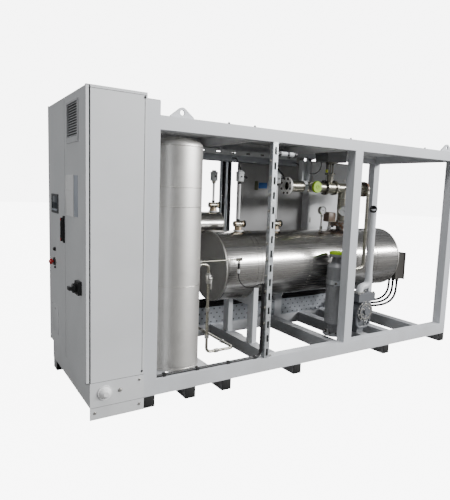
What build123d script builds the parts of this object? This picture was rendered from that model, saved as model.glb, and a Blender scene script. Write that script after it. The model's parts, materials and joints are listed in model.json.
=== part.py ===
"""Skid-mounted electric thermal oil heater: open steel frame, control cabinet, clad vessels and pipework.

Millimetres, +Z up. +X runs along the skid away from the control cabinet, -Y is the front.
Stations in x count from the outer face of the closed doors, stations in y from the frame's front plane.
"""

import os
from math import atan2, degrees, radians, tan

from build123d import *

os.makedirs("parts", exist_ok=True)

# Skid frame
frame_length = 4150.0
frame_width = 1240.0
section = 100.0
foot_height = 90.0
foot_length = 250.0
foot_width = 90.0
foot_shares = (0.0, 0.096, 0.1885, 0.399, 0.7345, 1.0)
bottom_rail_height = 120.0
top_rail_level = 2175.0
top_rail_height = 100.0
post_stub = 100.0
middle_post_share = 0.5724
tank_beam_shares = (0.0337, 0.1385)
support_beam_shares = (0.3324, 0.7655)
middle_beam_share = 0.5448
pump_beam_share = 0.6731
end_beam_share = 0.9021
lug_shares = (0.0552, 0.9731)
lug_base = 190.0
lug_foot = 14.0
lug_rise = 42.0
lug_eye_radius = 38.0
lug_bore_radius = 20.0
lug_thickness = 20.0

# Control cabinet on its plinth
cabinet_depth = 395.0
cabinet_setback = 40.0
cabinet_base = 275.0
cabinet_height = 2040.0
cabinet_wall = 12.0
cabinet_roof_thickness = 20.0
panel_groove_inset = 20.0
panel_groove_width = 4.0
panel_groove_depth = 3.0
plinth_wall = 8.0
plinth_step = 5.0
mounting_plate_thickness = 4.0
mounting_plate_margin = 70.0
mounting_stud_radius = 8.0
mounting_stud_length = 30.0
entry_reach = 40.0
entry_radius = 46.0
entry_nose_radius = 18.0
entry_rim = 6.0
entry_neck_radius = 34.0
entry_shoulder = 26.0
entry_station = 130.0
entry_level = 190.0

# Cabinet doors and their pivots
door_thickness = 20.0
door_gap = 10.0
leaf_gap = 6.0
leaf_skin = 3.0
leaf_rim = 24.0
pivot_plate = 6.0
pivot_play = 0.3
pivot_pin_radius = 4.0
pivot_clearance = 0.05
pivot_pin_length = 18.0
pivot_inset_x = 8.0
pivot_inset_y = 10.0
pivot_plate_width = 24.0

# Fittings on the doors
vent_width = 320.0
vent_offset = 36.5
vent_drop = 65.0
vent_height = 292.0
vent_sill = 40.0
vent_depth = 10.0
vent_rim = 14.0
vent_slats = 13
vent_slat_thickness = 2.0
vent_slat_drop = 9.0
sleeve_width = 240.0
sleeve_setback = 52.0
sleeve_drop = 585.0
sleeve_height = 302.0
sleeve_depth = 5.0
switch_station = 158.0
switch_level = 937.0
switch_base_size = 96.0
switch_base_depth = 28.0
switch_reach = 82.0
switch_gap = 5.0
switch_dial_radius = 32.0
switch_dial_depth = 20.0
switch_grip_length = 58.0
switch_grip_width = 24.0
switch_spindle_radius = 8.0
switch_spindle_seat = 14.0
panel_width = 230.0
panel_offset = 218.0
panel_level = (1421.0, 1578.0)
panel_depth = 9.0
panel_bezel = 16.0
panel_screen_recess = 2.0
handle_offset = 27.0
handle_level = (1205.0, 1415.0)
handle_base_width = 44.0
handle_base_depth = 8.0
handle_gap = 5.0
handle_lever_width = 30.0
handle_lever_depth = 14.0
handle_lever_end = 12.0
handle_pivot_drop = 28.0
handle_spindle_radius = 7.0
handle_spindle_seat = 10.0
lock_offset = 347.0
lock_level = 1117.0
lock_radius = 16.0
lock_depth = 14.0
lock_barrel_radius = 10.0
lock_barrel_depth = 5.0
stop_offset = 352.0
stop_level = 1011.0
stop_base_radius = 32.0
stop_base_depth = 16.0
stop_gap = 11.0
stop_cap_radius = 24.0
stop_cap_depth = 26.0
stop_stem_radius = 9.0
stop_stem_seat = 14.0
fit_clearance = 0.05

# Vertical expansion tank
tank_setback = 62.0
tank_radius = 200.0
tank_wall = 5.0
tank_base_thickness = 18.0
tank_shoulder_level = 1985.0
tank_dish = 80.0
knuckle_share = 0.55

# Horizontal heater vessel
heater_overhang = (370.0, 380.0)
heater_bottom = 615.0
heater_side_gap = 7.0
heater_wall = 8.0
heater_end_thickness = 14.0
heater_end_lip = 12.0
seam_share = 0.4267
seam_width = 36.0
seam_lap = 1.5
support_width = 50.0
support_leg = 100.0
saddle_thickness = 40.0
saddle_wrap_share = 0.82
terminal_box_size = (140.0, 560.0, 300.0)
terminal_box_drop = 95.0
terminal_lid_thickness = 14.0
terminal_lid_lap = 8.0
terminal_neck_radius = 130.0
terminal_neck_length = 20.0
gland_radius = 17.0
gland_length = 30.0
gland_pitch = 55.0
gland_inset = 30.0

# Rear drum
drum_overhang = (117.0, 663.0)
drum_back_gap = 10.0
drum_clearance = 52.7
drum_radius = 130.0
drum_wall = 5.0
drum_dish = 45.0
drum_leg = 60.0
drum_cradle = 30.0

# Strut channels and cable trays
strut_size = 50.0
strut_wall = 5.0
strut_slot_length = 28.0
strut_slot_width = 13.0
strut_slot_chamfer = 4.0
strut_slot_pitch = 100.0
front_strut_share = 0.302
rear_strut_shares = (0.3605, 0.3796, 0.6871, 0.7823)
tray_height = 190.0
tray_depth = 50.0
tray_wall = 4.0
tray_overhang = 180.0
tray_bushing_radius = 16.0
tray_bushing_length = 12.0
upper_tray_drop = 115.0
upper_tray_height = 60.0
upper_tray_depth = 150.0
lead_bushing_radius = 9.0
lead_bushing_length = 14.0

# Black conduit on the front bottom rail
conduit_radius = 11.0
conduit_bend = 45.0
conduit_setback = 40.0
conduit_strut_gap = 17.0
conduit_top = 875.0
conduit_bushing_level = 858.0
conduit_bushing_length = 26.0
conduit_bushing_radius = 8.0
conduit_bracket_level = 780.0
conduit_bracket_height = 20.0
clip_shares = (0.08, 0.37, 0.667, 0.94)
clip_length = 24.0
clip_width = 34.0
clip_height = 24.0

# Oil strainer beside the middle post
strainer_gap = 7.0
strainer_radius = 98.0
strainer_base = 320.0
strainer_top = 985.0
strainer_shoulder = 45.0
strainer_neck_radius = 55.0
strainer_flange_radius = 88.0
strainer_foot_radius = 102.0
strainer_flange_thickness = 26.0
strainer_neck_length = 55.0
strainer_foot_length = 60.0
cap_thickness = 22.0
cap_rim_share = 0.94
strap_height = 46.0
strap_thickness = 5.0
strap_level = 762.0
strap_tab = 30.0
strap_plate_reach = 118.0

# Main oil pipe above the heater, its valve and actuator
pipe_radius = 57.0
pipe_rise = 453.0
pipe_bore_radius = 45.0
pipe_bore_depth = 140.0
pipe_tail = 300.0
pipe_run_on = 310.0
riser_setback = 248.0
nozzle_radius = 130.0
nozzle_thickness = 22.0
nozzle_gap = 4.0
nozzle_height = 58.0
flange_radius = 88.0
flange_thickness = 22.0
branch_setback = 300.0
branch_radius = 42.0
branch_length = 70.0
branch_cap_radius = 56.0
valve_setback = 212.0
valve_flange_radius = 80.0
valve_body_radius = 66.0
valve_body_length = 150.0
valve_bonnet_radius = 34.0
valve_bonnet_length = 56.0
yoke_pillar_radius = 9.0
yoke_spread = 34.0
yoke_height = 110.0
yoke_plate_thickness = 14.0
yoke_plate_radius = 56.0
actuator_size = (270.0, 190.0, 125.0)
actuator_lid_height = 48.0
actuator_lid_lap = 6.0
actuator_gland_offset = (90.0, 50.0)
actuator_gland_length = 16.0
gauge_setback = 302.0
gauge_rise = 205.0
gauge_reach = 45.0
gauge_radius = 44.0
riser_gauge_radius = 58.0
gauge_depth = 34.0
gauge_stem_radius = 8.0
gauge_turn = 33.4
sensor_setback = 183.0
sensor_stem = 85.0
sensor_stem_radius = 12.0
sensor_head_size = (100.0, 90.0, 95.0)

# Circulation pump with its suction pipe
pump_inset = 100.0
pump_level = 455.0
pump_radius = 105.0
pump_length = 150.0
pump_cover_radius = 84.0
pump_cover_depth = 12.0
pump_boss_radius = 34.0
pump_boss_depth = 20.0
pump_block_width = 240.0
pump_block_offset = 20.0
pump_block_seat = 5.0
pump_block_height = 85.0
motor_radius = 92.0
motor_length = 300.0
pump_foot_width = 90.0
pump_foot_setback = 55.0
pump_loop_radius = 14.0
pump_loop_half = 95.0
pump_loop_setback = 25.0
pump_loop_low = 280.0
pump_loop_bend = 60.0
suction_radius = 38.0
suction_bore_radius = 32.0
suction_bore_depth = 60.0
suction_offset = 100.0
suction_landing = 25.0
suction_top = 1522.0
suction_rise = 65.0
suction_bend = 60.0

# Small-bore stainless pipes
small_pipe_radius = 13.0
small_pipe_bend = 42.0
drain_level = 1030.0
drain_low = 255.0
drain_offsets = (311.0, 588.0)
impulse_low = 900.0
impulse_offset = 10.0
impulse_stub = 80.0
impulse_radius = 17.0
impulse_bend = 55.0
probe_radius = 6.0
probe_level = 1062.0
probe_offset = 37.0
probe_reach = 563.0
probe_head_radius = 15.0
probe_head_length = 60.0
probe_plug_radius = 9.0
probe_plug_length = 122.0

# Instruments on the vessels
column_radius = 11.0
column_head_radius = 22.0
column_head_length = 110.0
column_gland_rise = 55.0
column_gland_radius = 9.0
column_gland_length = 16.0
column_valve_radius = 26.0
column_valve_length = 90.0
column_wheel_radius = 32.0
column_wheel_stem = 18.0
column_wheel_stem_radius = 6.0
column_wheel_thickness = 8.0
column_foot_radius = 34.0
column_foot_height = 40.0
column_height = 470.0
column_inset = 314.0
column_setback = 118.0
drum_column_inset = 96.0
drum_headroom = 120.0

# Panels and box at the rear
rear_panel_gap = 40.0
rear_panel_end_gap = 10.0
rear_panel_level = (1200.0, 1950.0)
rear_panel_thickness = 12.0
rear_box_overhang = (110.0, 80.0)
rear_box_level = (1150.0, 2031.0)
rear_box_depth = 170.0
rear_box_door_margin = 10.0
rear_box_door_thickness = 4.0

# Leads: thickness, share of a run a bend may take, and routes in stations
heater_cable_thickness = 20.0
signal_lead_thickness = 9.0
probe_lead_thickness = 8.0
bend_share = 0.45
heater_cable_front_route = (
    (3720.0, 390.0, 670.0),
    (3720.0, 390.0, 575.0),
    (3700.0, 396.0, 482.0),
    (3632.0, 412.0, 418.0),
    (3536.0, 450.0, 384.0),
    (3436.0, 530.0, 370.0),
    (3367.0, 650.0, 360.0),
    (3335.0, 790.0, 345.0),
    (3325.0, 930.0, 325.0),
    (3325.0, 1040.0, 300.0),
    (3325.0, 1128.0, 300.0),
)
heater_cable_middle_route = (
    (3720.0, 445.0, 670.0),
    (3720.0, 445.0, 585.0),
    (3700.0, 450.0, 502.0),
    (3640.0, 462.0, 440.0),
    (3555.0, 492.0, 408.0),
    (3470.0, 560.0, 394.0),
    (3410.0, 665.0, 386.0),
    (3378.0, 795.0, 366.0),
    (3366.0, 930.0, 338.0),
    (3365.0, 1040.0, 300.0),
    (3365.0, 1128.0, 300.0),
)
heater_cable_rear_route = (
    (3720.0, 500.0, 670.0),
    (3720.0, 500.0, 595.0),
    (3700.0, 503.0, 520.0),
    (3650.0, 512.0, 464.0),
    (3580.0, 534.0, 432.0),
    (3508.0, 588.0, 420.0),
    (3450.0, 680.0, 412.0),
    (3418.0, 800.0, 390.0),
    (3406.0, 930.0, 352.0),
    (3405.0, 1040.0, 300.0),
    (3405.0, 1128.0, 300.0),
)
probe_lead_route = (
    (1380.0, 225.0, 940.0),
    (1380.0, 225.0, 908.0),
    (1388.0, 219.0, 874.0),
    (1405.0, 206.0, 842.0),
    (1431.0, 189.0, 820.0),
    (1463.0, 168.0, 812.0),
    (1492.0, 147.0, 822.0),
    (1511.0, 121.0, 841.0),
    (1518.0, 92.0, 858.0),
    (1518.0, 66.0, 858.0),
)
column_lead_left_route = (
    (1760.0, 976.0, 1990.0),
    (1760.0, 944.0, 1990.0),
    (1759.0, 904.0, 1964.0),
    (1755.0, 856.0, 1900.0),
    (1751.0, 806.0, 1842.0),
    (1747.0, 756.0, 1800.0),
    (1742.0, 710.0, 1785.0),
    (1733.0, 676.0, 1787.0),
    (1715.0, 652.0, 1794.0),
    (1690.0, 640.0, 1800.0),
    (1662.0, 640.0, 1800.0),
)
column_lead_right_route = (
    (2216.0, 976.0, 1990.0),
    (2216.0, 944.0, 1990.0),
    (2216.0, 905.0, 1973.0),
    (2215.0, 860.0, 1935.0),
    (2213.0, 812.0, 1897.0),
    (2209.0, 766.0, 1868.0),
    (2203.0, 728.0, 1849.0),
    (2194.0, 696.0, 1835.0),
    (2180.0, 668.0, 1820.0),
    (2160.0, 648.0, 1807.0),
    (2136.0, 640.0, 1800.0),
    (2110.0, 640.0, 1800.0),
)
actuator_lead_route = (
    (2560.0, 976.0, 1990.0),
    (2560.0, 946.0, 1990.0),
    (2566.0, 908.0, 1968.0),
    (2580.0, 868.0, 1926.0),
    (2604.0, 824.0, 1888.0),
    (2632.0, 780.0, 1870.0),
    (2660.0, 742.0, 1874.0),
    (2682.0, 714.0, 1894.0),
    (2695.0, 697.0, 1926.0),
    (2700.0, 690.0, 1958.0),
    (2700.0, 690.0, 1986.0),
)
heater_cable_routes = (heater_cable_front_route, heater_cable_middle_route, heater_cable_rear_route)
signal_lead_routes = (column_lead_left_route, column_lead_right_route, actuator_lead_route)

# Cut overrun and shared reference places
overrun = 5.0
door_face = -(frame_length - switch_reach) / 2
front = -(frame_width - entry_reach) / 2
back = front + frame_width
door_back = door_face + door_thickness
cabinet_front = door_back + door_gap
frame_left = cabinet_front + cabinet_depth
frame_right = door_face + frame_length
inner_front = front + section
inner_back = back - section
rail_top = foot_height + bottom_rail_height
top_rail_base = top_rail_level - top_rail_height
cabinet_top = cabinet_base + cabinet_height
cabinet_width = frame_width - cabinet_setback
cabinet_back_edge = front + cabinet_width
right_post = frame_right - section


def along(share, width):
    """Left edge of a piece of that width, set by a share of the frame's clear length."""
    return frame_left + share * (frame_right - frame_left - width)


middle_post = along(middle_post_share, section)
tank_beams = [along(share, section) for share in tank_beam_shares]
support_beams = [along(share, section) for share in support_beam_shares]
pump_beam = along(pump_beam_share, section)


def bar(x, y, z, mode=Mode.ADD):
    """Rectangular bar or plate between two x, two y and two z values, in the piece being made."""
    with BuildSketch(Plane.XY.offset(z[0])) as outline:
        with Locations(((x[0] + x[1]) / 2, (y[0] + y[1]) / 2)):
            Rectangle(x[1] - x[0], y[1] - y[0])
    extrude(outline.sketch, amount=z[1] - z[0], mode=mode)


def rod(start, end, radius, mode=Mode.ADD):
    """Round bar from one point to another, in the piece being made."""
    run = Vector(*end) - Vector(*start)
    with BuildSketch(Plane(origin=start, z_dir=run)) as outline:
        Circle(radius)
    extrude(outline.sketch, amount=run.length, mode=mode)


def bent_pipe(points, bend, radius):
    """Round pipe along straight runs joined by tangent bends, in the piece being made."""
    with BuildLine() as path:
        FilletPolyline(*points, radius=bend)
    with BuildSketch(Plane(origin=path.line @ 0, z_dir=path.line % 0)) as outline:
        Circle(radius)
    sweep(outline.sketch, path=path.line)


def dished_end(centre, outward, radial, radius, rise, wall):
    """Dished vessel end: crown and knuckle arcs turned about the vessel's axis, in the piece being made."""
    out = Vector(*outward)
    knuckle = rise * knuckle_share
    crown = ((radius - knuckle) ** 2 + rise**2 - knuckle**2) / (2 * (rise - knuckle))
    lean = degrees(atan2(crown - rise, radius - knuckle))
    profile_plane = Plane(origin=centre, x_dir=radial, z_dir=Vector(*radial).cross(out))
    with BuildSketch(profile_plane) as outline:
        with BuildLine():
            CenterArc((radius - knuckle, 0), knuckle, 0, lean)
            CenterArc((0, rise - crown), crown, lean, 90 - lean)
            Polyline((0, rise), (0, rise - wall), (radius - wall, 0), (radius, 0))
        make_face()
    revolve(outline.sketch, axis=Axis(centre, outward))


def cord(route, thickness, name):
    """Flexible lead along its route, each bend as large as its two runs allow, in the piece being made."""
    points = [Vector(door_face + x, front + y, z) for x, y, z in route]
    runs = [end - start for start, end in zip(points, points[1:])]
    radii = []
    for before, after in zip(runs, runs[1:]):
        half_turn = radians(before.get_angle(after)) / 2
        radii.append(bend_share * min(before.length, after.length) / tan(half_turn))
    with BuildLine() as path:
        FilletPolyline(*points, radius=radii)
    with BuildSketch(Plane(origin=path.line @ 0, z_dir=path.line % 0)) as outline:
        Circle(thickness / 2)
    sweep(outline.sketch, path=path.line)
    length = sum(edge.length for edge in path.edges())
    print(name, "length", round(length), "bend radii", [round(radius) for radius in radii])


def keep(piece, name):
    """Names a finished piece and writes it."""
    piece.part.label = name
    export_step(piece.part, f"parts/{name}.step")


# Bottom rails, cross beams and feet
with BuildPart() as bottom_rails:
    for near in (front, inner_back):
        bar((frame_left, frame_right), (near, near + section), (foot_height, rail_top))
keep(bottom_rails, "bottom_rails")

with BuildPart() as cross_beams:
    single_beams = (along(middle_beam_share, section), pump_beam, along(end_beam_share, section))
    for left in (*tank_beams, *support_beams, *single_beams):
        bar((left, left + section), (inner_front, inner_back), (foot_height, rail_top))
keep(cross_beams, "cross_beams")

with BuildPart() as feet:
    for share in foot_shares:
        left = along(share, foot_width)
        for near in (front, back - foot_length):
            bar((left, left + foot_width), (near, near + foot_length), (0, foot_height))
    plinth_foot = cabinet_front - plinth_step
    plinth_foot_end = cabinet_back_edge - plinth_wall
    bar(
        (plinth_foot, plinth_foot + foot_width),
        (plinth_foot_end - foot_length / 2, plinth_foot_end),
        (0, foot_height),
    )
keep(feet, "feet")

# Posts, top rails and lifting lugs
with BuildPart() as posts:
    for near in (front, inner_back):
        for left, post_top in (
            (frame_left, top_rail_level + post_stub),
            (middle_post, top_rail_base),
            (right_post, top_rail_base),
        ):
            bar((left, left + section), (near, near + section), (rail_top, post_top))
keep(posts, "posts")

with BuildPart() as top_rails:
    for near in (front, inner_back):
        bar((frame_left + section, frame_right), (near, near + section), (top_rail_base, top_rail_level))
keep(top_rails, "top_rails")

with BuildPart() as top_cross_rails:
    for left in (frame_left, right_post):
        bar((left, left + section), (inner_front, inner_back), (top_rail_base, top_rail_level))
keep(top_cross_rails, "top_cross_rails")

with BuildPart() as lifting_lugs:
    for share in lug_shares:
        lug_middle = along(share, lug_base) + lug_base / 2
        for rail_middle in (front + section / 2, back - section / 2):
            lug_plane = Plane((lug_middle, rail_middle, top_rail_level), (1, 0, 0), (0, -1, 0))
            with BuildSketch(lug_plane) as lug_outline:
                with Locations((0, lug_foot / 2)):
                    Rectangle(lug_base, lug_foot)
                with Locations((0, lug_rise)):
                    Circle(lug_eye_radius)
                make_hull()
                with Locations((0, lug_rise)):
                    Circle(lug_bore_radius, mode=Mode.SUBTRACT)
            extrude(lug_outline.sketch, amount=lug_thickness / 2, both=True)
keep(lifting_lugs, "lifting_lugs")

# Cabinet plinth with its apron, and the cable entry on the apron
with BuildPart() as plinth:
    bar((cabinet_front - plinth_step, frame_left), (front, cabinet_back_edge), (foot_height, cabinet_base))
    bar(
        (cabinet_front - plinth_step + plinth_wall, frame_left - plinth_wall),
        (front + plinth_wall, cabinet_back_edge - plinth_wall),
        (foot_height - overrun, cabinet_base + overrun),
        Mode.SUBTRACT,
    )
    bar((cabinet_front - plinth_step, frame_left), (front, front + plinth_wall), (0, foot_height))
keep(plinth, "plinth")

with BuildPart() as cable_entry:
    entry_plane = Plane((door_face + entry_station, front, entry_level), (1, 0, 0), (0, 0, 1))
    with BuildSketch(entry_plane) as entry_outline:
        with BuildLine():
            Polyline(
                (0, 0),
                (entry_radius, 0),
                (entry_radius, -entry_rim),
                (entry_neck_radius, -entry_shoulder),
                (entry_nose_radius, -entry_reach),
                (0, -entry_reach),
                close=True,
            )
        make_face()
    revolve(entry_outline.sketch, axis=Axis(entry_plane.origin, (0, 1, 0)))
keep(cable_entry, "cable_entry")

# Cabinet shell
panel_base = cabinet_base + cabinet_wall
panel_top = cabinet_top - cabinet_roof_thickness
with BuildPart() as side_panels:
    for outer, inward in ((front, 1), (cabinet_back_edge, -1)):
        inner = outer + inward * cabinet_wall
        bar((cabinet_front, frame_left), sorted((outer, inner)), (panel_base, panel_top))
        groove = frame_left - panel_groove_inset
        floor_of_groove = outer + inward * panel_groove_depth
        bar(
            (groove, groove + panel_groove_width),
            sorted((outer - inward * overrun, floor_of_groove)),
            (panel_base - overrun, panel_top + overrun),
            Mode.SUBTRACT,
        )
keep(side_panels, "cabinet_side_panels")

inner_sides = (front + cabinet_wall, cabinet_back_edge - cabinet_wall)
with BuildPart() as back_panel:
    bar((frame_left - cabinet_wall, frame_left), inner_sides, (panel_base, panel_top))
keep(back_panel, "cabinet_back_panel")

with BuildPart() as roof_and_floor:
    for levels in ((panel_top, cabinet_top), (cabinet_base, panel_base)):
        bar((cabinet_front, frame_left), (front, cabinet_back_edge), levels)
keep(roof_and_floor, "cabinet_roof_and_floor")

with BuildPart() as mounting_plate:
    plate_back = frame_left - cabinet_wall - mounting_stud_length
    plate_sides = (inner_sides[0] + mounting_plate_margin, inner_sides[1] - mounting_plate_margin)
    plate_levels = (panel_base + mounting_plate_margin, panel_top - mounting_plate_margin)
    bar((plate_back - mounting_plate_thickness, plate_back), plate_sides, plate_levels)
    for y in (plate_sides[0] + mounting_plate_margin, plate_sides[1] - mounting_plate_margin):
        for z in (plate_levels[0] + mounting_plate_margin, plate_levels[1] - mounting_plate_margin):
            rod((plate_back, y, z), (plate_back + mounting_stud_length, y, z), mounting_stud_radius)
keep(mounting_plate, "mounting_plate")

# Door leaves on pivot pins near the outer corners
leaf_base = cabinet_base + pivot_plate + pivot_play
leaf_top = cabinet_top - pivot_plate - pivot_play
door_middle = front + cabinet_width / 2
pivot_x = door_face + pivot_inset_x
front_pivot_y = front + pivot_inset_y
rear_pivot_y = cabinet_back_edge - pivot_inset_y


def door_leaf(y, pivot_y):
    """Folded door leaf with a rim all round and a bore for the pivot pin at each end."""
    bar((door_face, door_back), y, (leaf_base, leaf_top))
    bar(
        (door_face + leaf_skin, door_back + overrun),
        (y[0] + leaf_rim, y[1] - leaf_rim),
        (leaf_base + leaf_rim, leaf_top - leaf_rim),
        Mode.SUBTRACT,
    )
    bore = pivot_pin_radius + pivot_clearance
    for level, into in ((leaf_base, 1), (leaf_top, -1)):
        mouth = (pivot_x, pivot_y, level - into * overrun)
        blind_end = (pivot_x, pivot_y, level + into * pivot_pin_length)
        rod(mouth, blind_end, bore, Mode.SUBTRACT)


vent_middle = (front + door_middle) / 2 + vent_offset
vent_y = (vent_middle - vent_width / 2, vent_middle + vent_width / 2)
vent_top = cabinet_top - vent_drop
vent_level = (vent_top - vent_height, vent_top)
with BuildPart() as front_leaf:
    door_leaf((front, door_middle - leaf_gap / 2), front_pivot_y)
    bar(
        (door_face - overrun, door_back),
        (vent_y[0] + vent_rim, vent_y[1] - vent_rim),
        (vent_level[0] + vent_sill, vent_level[1] - vent_rim),
        Mode.SUBTRACT,
    )
keep(front_leaf, "door_front_leaf")

with BuildPart() as rear_leaf:
    door_leaf((door_middle + leaf_gap / 2, cabinet_back_edge), rear_pivot_y)
keep(rear_leaf, "door_rear_leaf")

with BuildPart() as door_pivots:
    for pivot_y, edge, inward in ((front_pivot_y, front, 1), (rear_pivot_y, cabinet_back_edge, -1)):
        plate_y = sorted((edge, edge + inward * pivot_plate_width))
        for level, into in ((cabinet_base, 1), (cabinet_top, -1)):
            plate_face = level + into * pivot_plate
            bar((door_face, cabinet_front), plate_y, sorted((level, plate_face)))
            pin_end = plate_face + into * (pivot_play + pivot_pin_length - overrun)
            rod((pivot_x, pivot_y, plate_face), (pivot_x, pivot_y, pin_end), pivot_pin_radius)
keep(door_pivots, "door_pivots")

# Louvred vent and document sleeve on the front leaf
with BuildPart() as vent_grille:
    bar((door_face - vent_depth, door_face), vent_y, vent_level)
    vent_inner = (vent_y[0] + vent_rim, vent_y[1] - vent_rim)
    vent_clear = (vent_level[0] + vent_sill, vent_level[1] - vent_rim)
    bar((door_face - vent_depth - overrun, door_face + overrun), vent_inner, vent_clear, Mode.SUBTRACT)
    slat_pitch = (vent_clear[1] - vent_clear[0]) / vent_slats
    slat_plane = Plane((door_face, vent_inner[1], vent_clear[0]), (1, 0, 0), (0, -1, 0))
    for slat in range(vent_slats):
        low = slat * slat_pitch + vent_slat_thickness
        with BuildSketch(slat_plane) as slat_outline:
            with BuildLine():
                Polyline(
                    (-vent_depth, low),
                    (0, low + vent_slat_drop),
                    (0, low + vent_slat_drop + vent_slat_thickness),
                    (-vent_depth, low + vent_slat_thickness),
                    close=True,
                )
            make_face()
        extrude(slat_outline.sketch, amount=vent_inner[1] - vent_inner[0])
keep(vent_grille, "vent_grille")

with BuildPart() as document_sleeve:
    sleeve_end = door_middle - sleeve_setback
    sleeve_y = (sleeve_end - sleeve_width, sleeve_end)
    sleeve_top = cabinet_top - sleeve_drop
    bar((door_face - sleeve_depth, door_face), sleeve_y, (sleeve_top - sleeve_height, sleeve_top))
keep(document_sleeve, "document_sleeve")

# Main switch on the front leaf
switch_y = front + switch_station
switch_face = door_face - switch_base_depth
with BuildPart() as switch_base:
    half = switch_base_size / 2
    switch_levels = (switch_level - half, switch_level + half)
    bar((switch_face, door_face), (switch_y - half, switch_y + half), switch_levels)
    spindle_end = switch_face - switch_gap - switch_spindle_seat
    rod((switch_face, switch_y, switch_level), (spindle_end, switch_y, switch_level), switch_spindle_radius)
keep(switch_base, "switch_base")

with BuildPart() as switch_knob:
    dial_back = switch_face - switch_gap
    dial_face = dial_back - switch_dial_depth
    rod((dial_back, switch_y, switch_level), (dial_face, switch_y, switch_level), switch_dial_radius)
    bar(
        (door_face - switch_reach, dial_face),
        (switch_y - switch_grip_length / 2, switch_y + switch_grip_length / 2),
        (switch_level - switch_grip_width / 2, switch_level + switch_grip_width / 2),
    )
    seat_end = dial_back - switch_spindle_seat - fit_clearance
    mouth = (dial_back + overrun, switch_y, switch_level)
    rod(mouth, (seat_end, switch_y, switch_level), switch_spindle_radius + fit_clearance, Mode.SUBTRACT)
keep(switch_knob, "switch_knob")

# Operator panel, swing handle, lock and emergency stop on the rear leaf
with BuildPart() as operator_panel:
    panel_y = (door_middle + panel_offset, door_middle + panel_offset + panel_width)
    bar((door_face - panel_depth, door_face), panel_y, panel_level)
    bar(
        (door_face - panel_depth - overrun, door_face - panel_depth + panel_screen_recess),
        (panel_y[0] + panel_bezel, panel_y[1] - panel_bezel),
        (panel_level[0] + panel_bezel, panel_level[1] - panel_bezel),
        Mode.SUBTRACT,
    )
keep(operator_panel, "operator_panel")

handle_y = door_middle + handle_offset
handle_pivot_level = handle_level[1] - handle_pivot_drop
handle_face = door_face - handle_base_depth
lock_y = door_middle + lock_offset
stop_y = door_middle + stop_offset
stop_face = door_face - stop_base_depth
with BuildPart() as door_fittings:
    bar(
        (handle_face, door_face),
        (handle_y - handle_base_width / 2, handle_y + handle_base_width / 2),
        handle_level,
    )
    spindle_end = handle_face - handle_gap - handle_spindle_seat
    rod(
        (handle_face, handle_y, handle_pivot_level),
        (spindle_end, handle_y, handle_pivot_level),
        handle_spindle_radius,
    )
    lock_face = door_face - lock_depth
    rod((door_face, lock_y, lock_level), (lock_face, lock_y, lock_level), lock_radius)
    barrel_face = lock_face - lock_barrel_depth
    rod((lock_face, lock_y, lock_level), (barrel_face, lock_y, lock_level), lock_barrel_radius)
    rod((door_face, stop_y, stop_level), (stop_face, stop_y, stop_level), stop_base_radius)
    rod(
        (stop_face - overrun, stop_y, stop_level),
        (stop_face + stop_stem_seat, stop_y, stop_level),
        stop_stem_radius + fit_clearance,
        Mode.SUBTRACT,
    )
keep(door_fittings, "door_fittings")

with BuildPart() as handle_lever:
    lever_back = handle_face - handle_gap
    lever_plane = Plane((lever_back, handle_y, handle_pivot_level), (0, -1, 0), (-1, 0, 0))
    lever_length = handle_pivot_level - handle_level[0] - handle_lever_end - handle_lever_width / 2
    with BuildSketch(lever_plane) as lever_outline:
        with Locations((0, -lever_length / 2)):
            SlotCenterToCenter(lever_length, handle_lever_width, rotation=90)
    extrude(lever_outline.sketch, amount=handle_lever_depth)
    mouth = (lever_back + overrun, handle_y, handle_pivot_level)
    seat_end = (lever_back - handle_spindle_seat - fit_clearance, handle_y, handle_pivot_level)
    rod(mouth, seat_end, handle_spindle_radius + fit_clearance, Mode.SUBTRACT)
keep(handle_lever, "handle_lever")

with BuildPart() as stop_button:
    cap_back = stop_face - stop_gap
    rod((cap_back, stop_y, stop_level), (cap_back - stop_cap_depth, stop_y, stop_level), stop_cap_radius)
    stem_end = stop_face + stop_stem_seat - stop_gap
    rod((cap_back, stop_y, stop_level), (stem_end, stop_y, stop_level), stop_stem_radius)
    chamfer(stop_button.part.faces().sort_by(Axis.X)[0].edges(), stop_cap_depth / 2)
keep(stop_button, "stop_button")

# Expansion tank: base plate, shell and dished top
tank_x = (tank_beams[0] + tank_beams[1] + section) / 2
tank_y = front + tank_setback + tank_radius
tank_shell_base = rail_top + tank_base_thickness
with BuildPart() as tank_base:
    rod((tank_x, tank_y, rail_top), (tank_x, tank_y, tank_shell_base), tank_radius)
keep(tank_base, "tank_base")

with BuildPart() as tank_shell:
    rod((tank_x, tank_y, tank_shell_base), (tank_x, tank_y, tank_shoulder_level), tank_radius)
    rod(
        (tank_x, tank_y, tank_shell_base - overrun),
        (tank_x, tank_y, tank_shoulder_level + overrun),
        tank_radius - tank_wall,
        Mode.SUBTRACT,
    )
keep(tank_shell, "tank_shell")

with BuildPart() as tank_top:
    shoulder = (tank_x, tank_y, tank_shoulder_level)
    dished_end(shoulder, (0, 0, 1), (1, 0, 0), tank_radius, tank_dish, tank_wall)
keep(tank_top, "tank_top")

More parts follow.
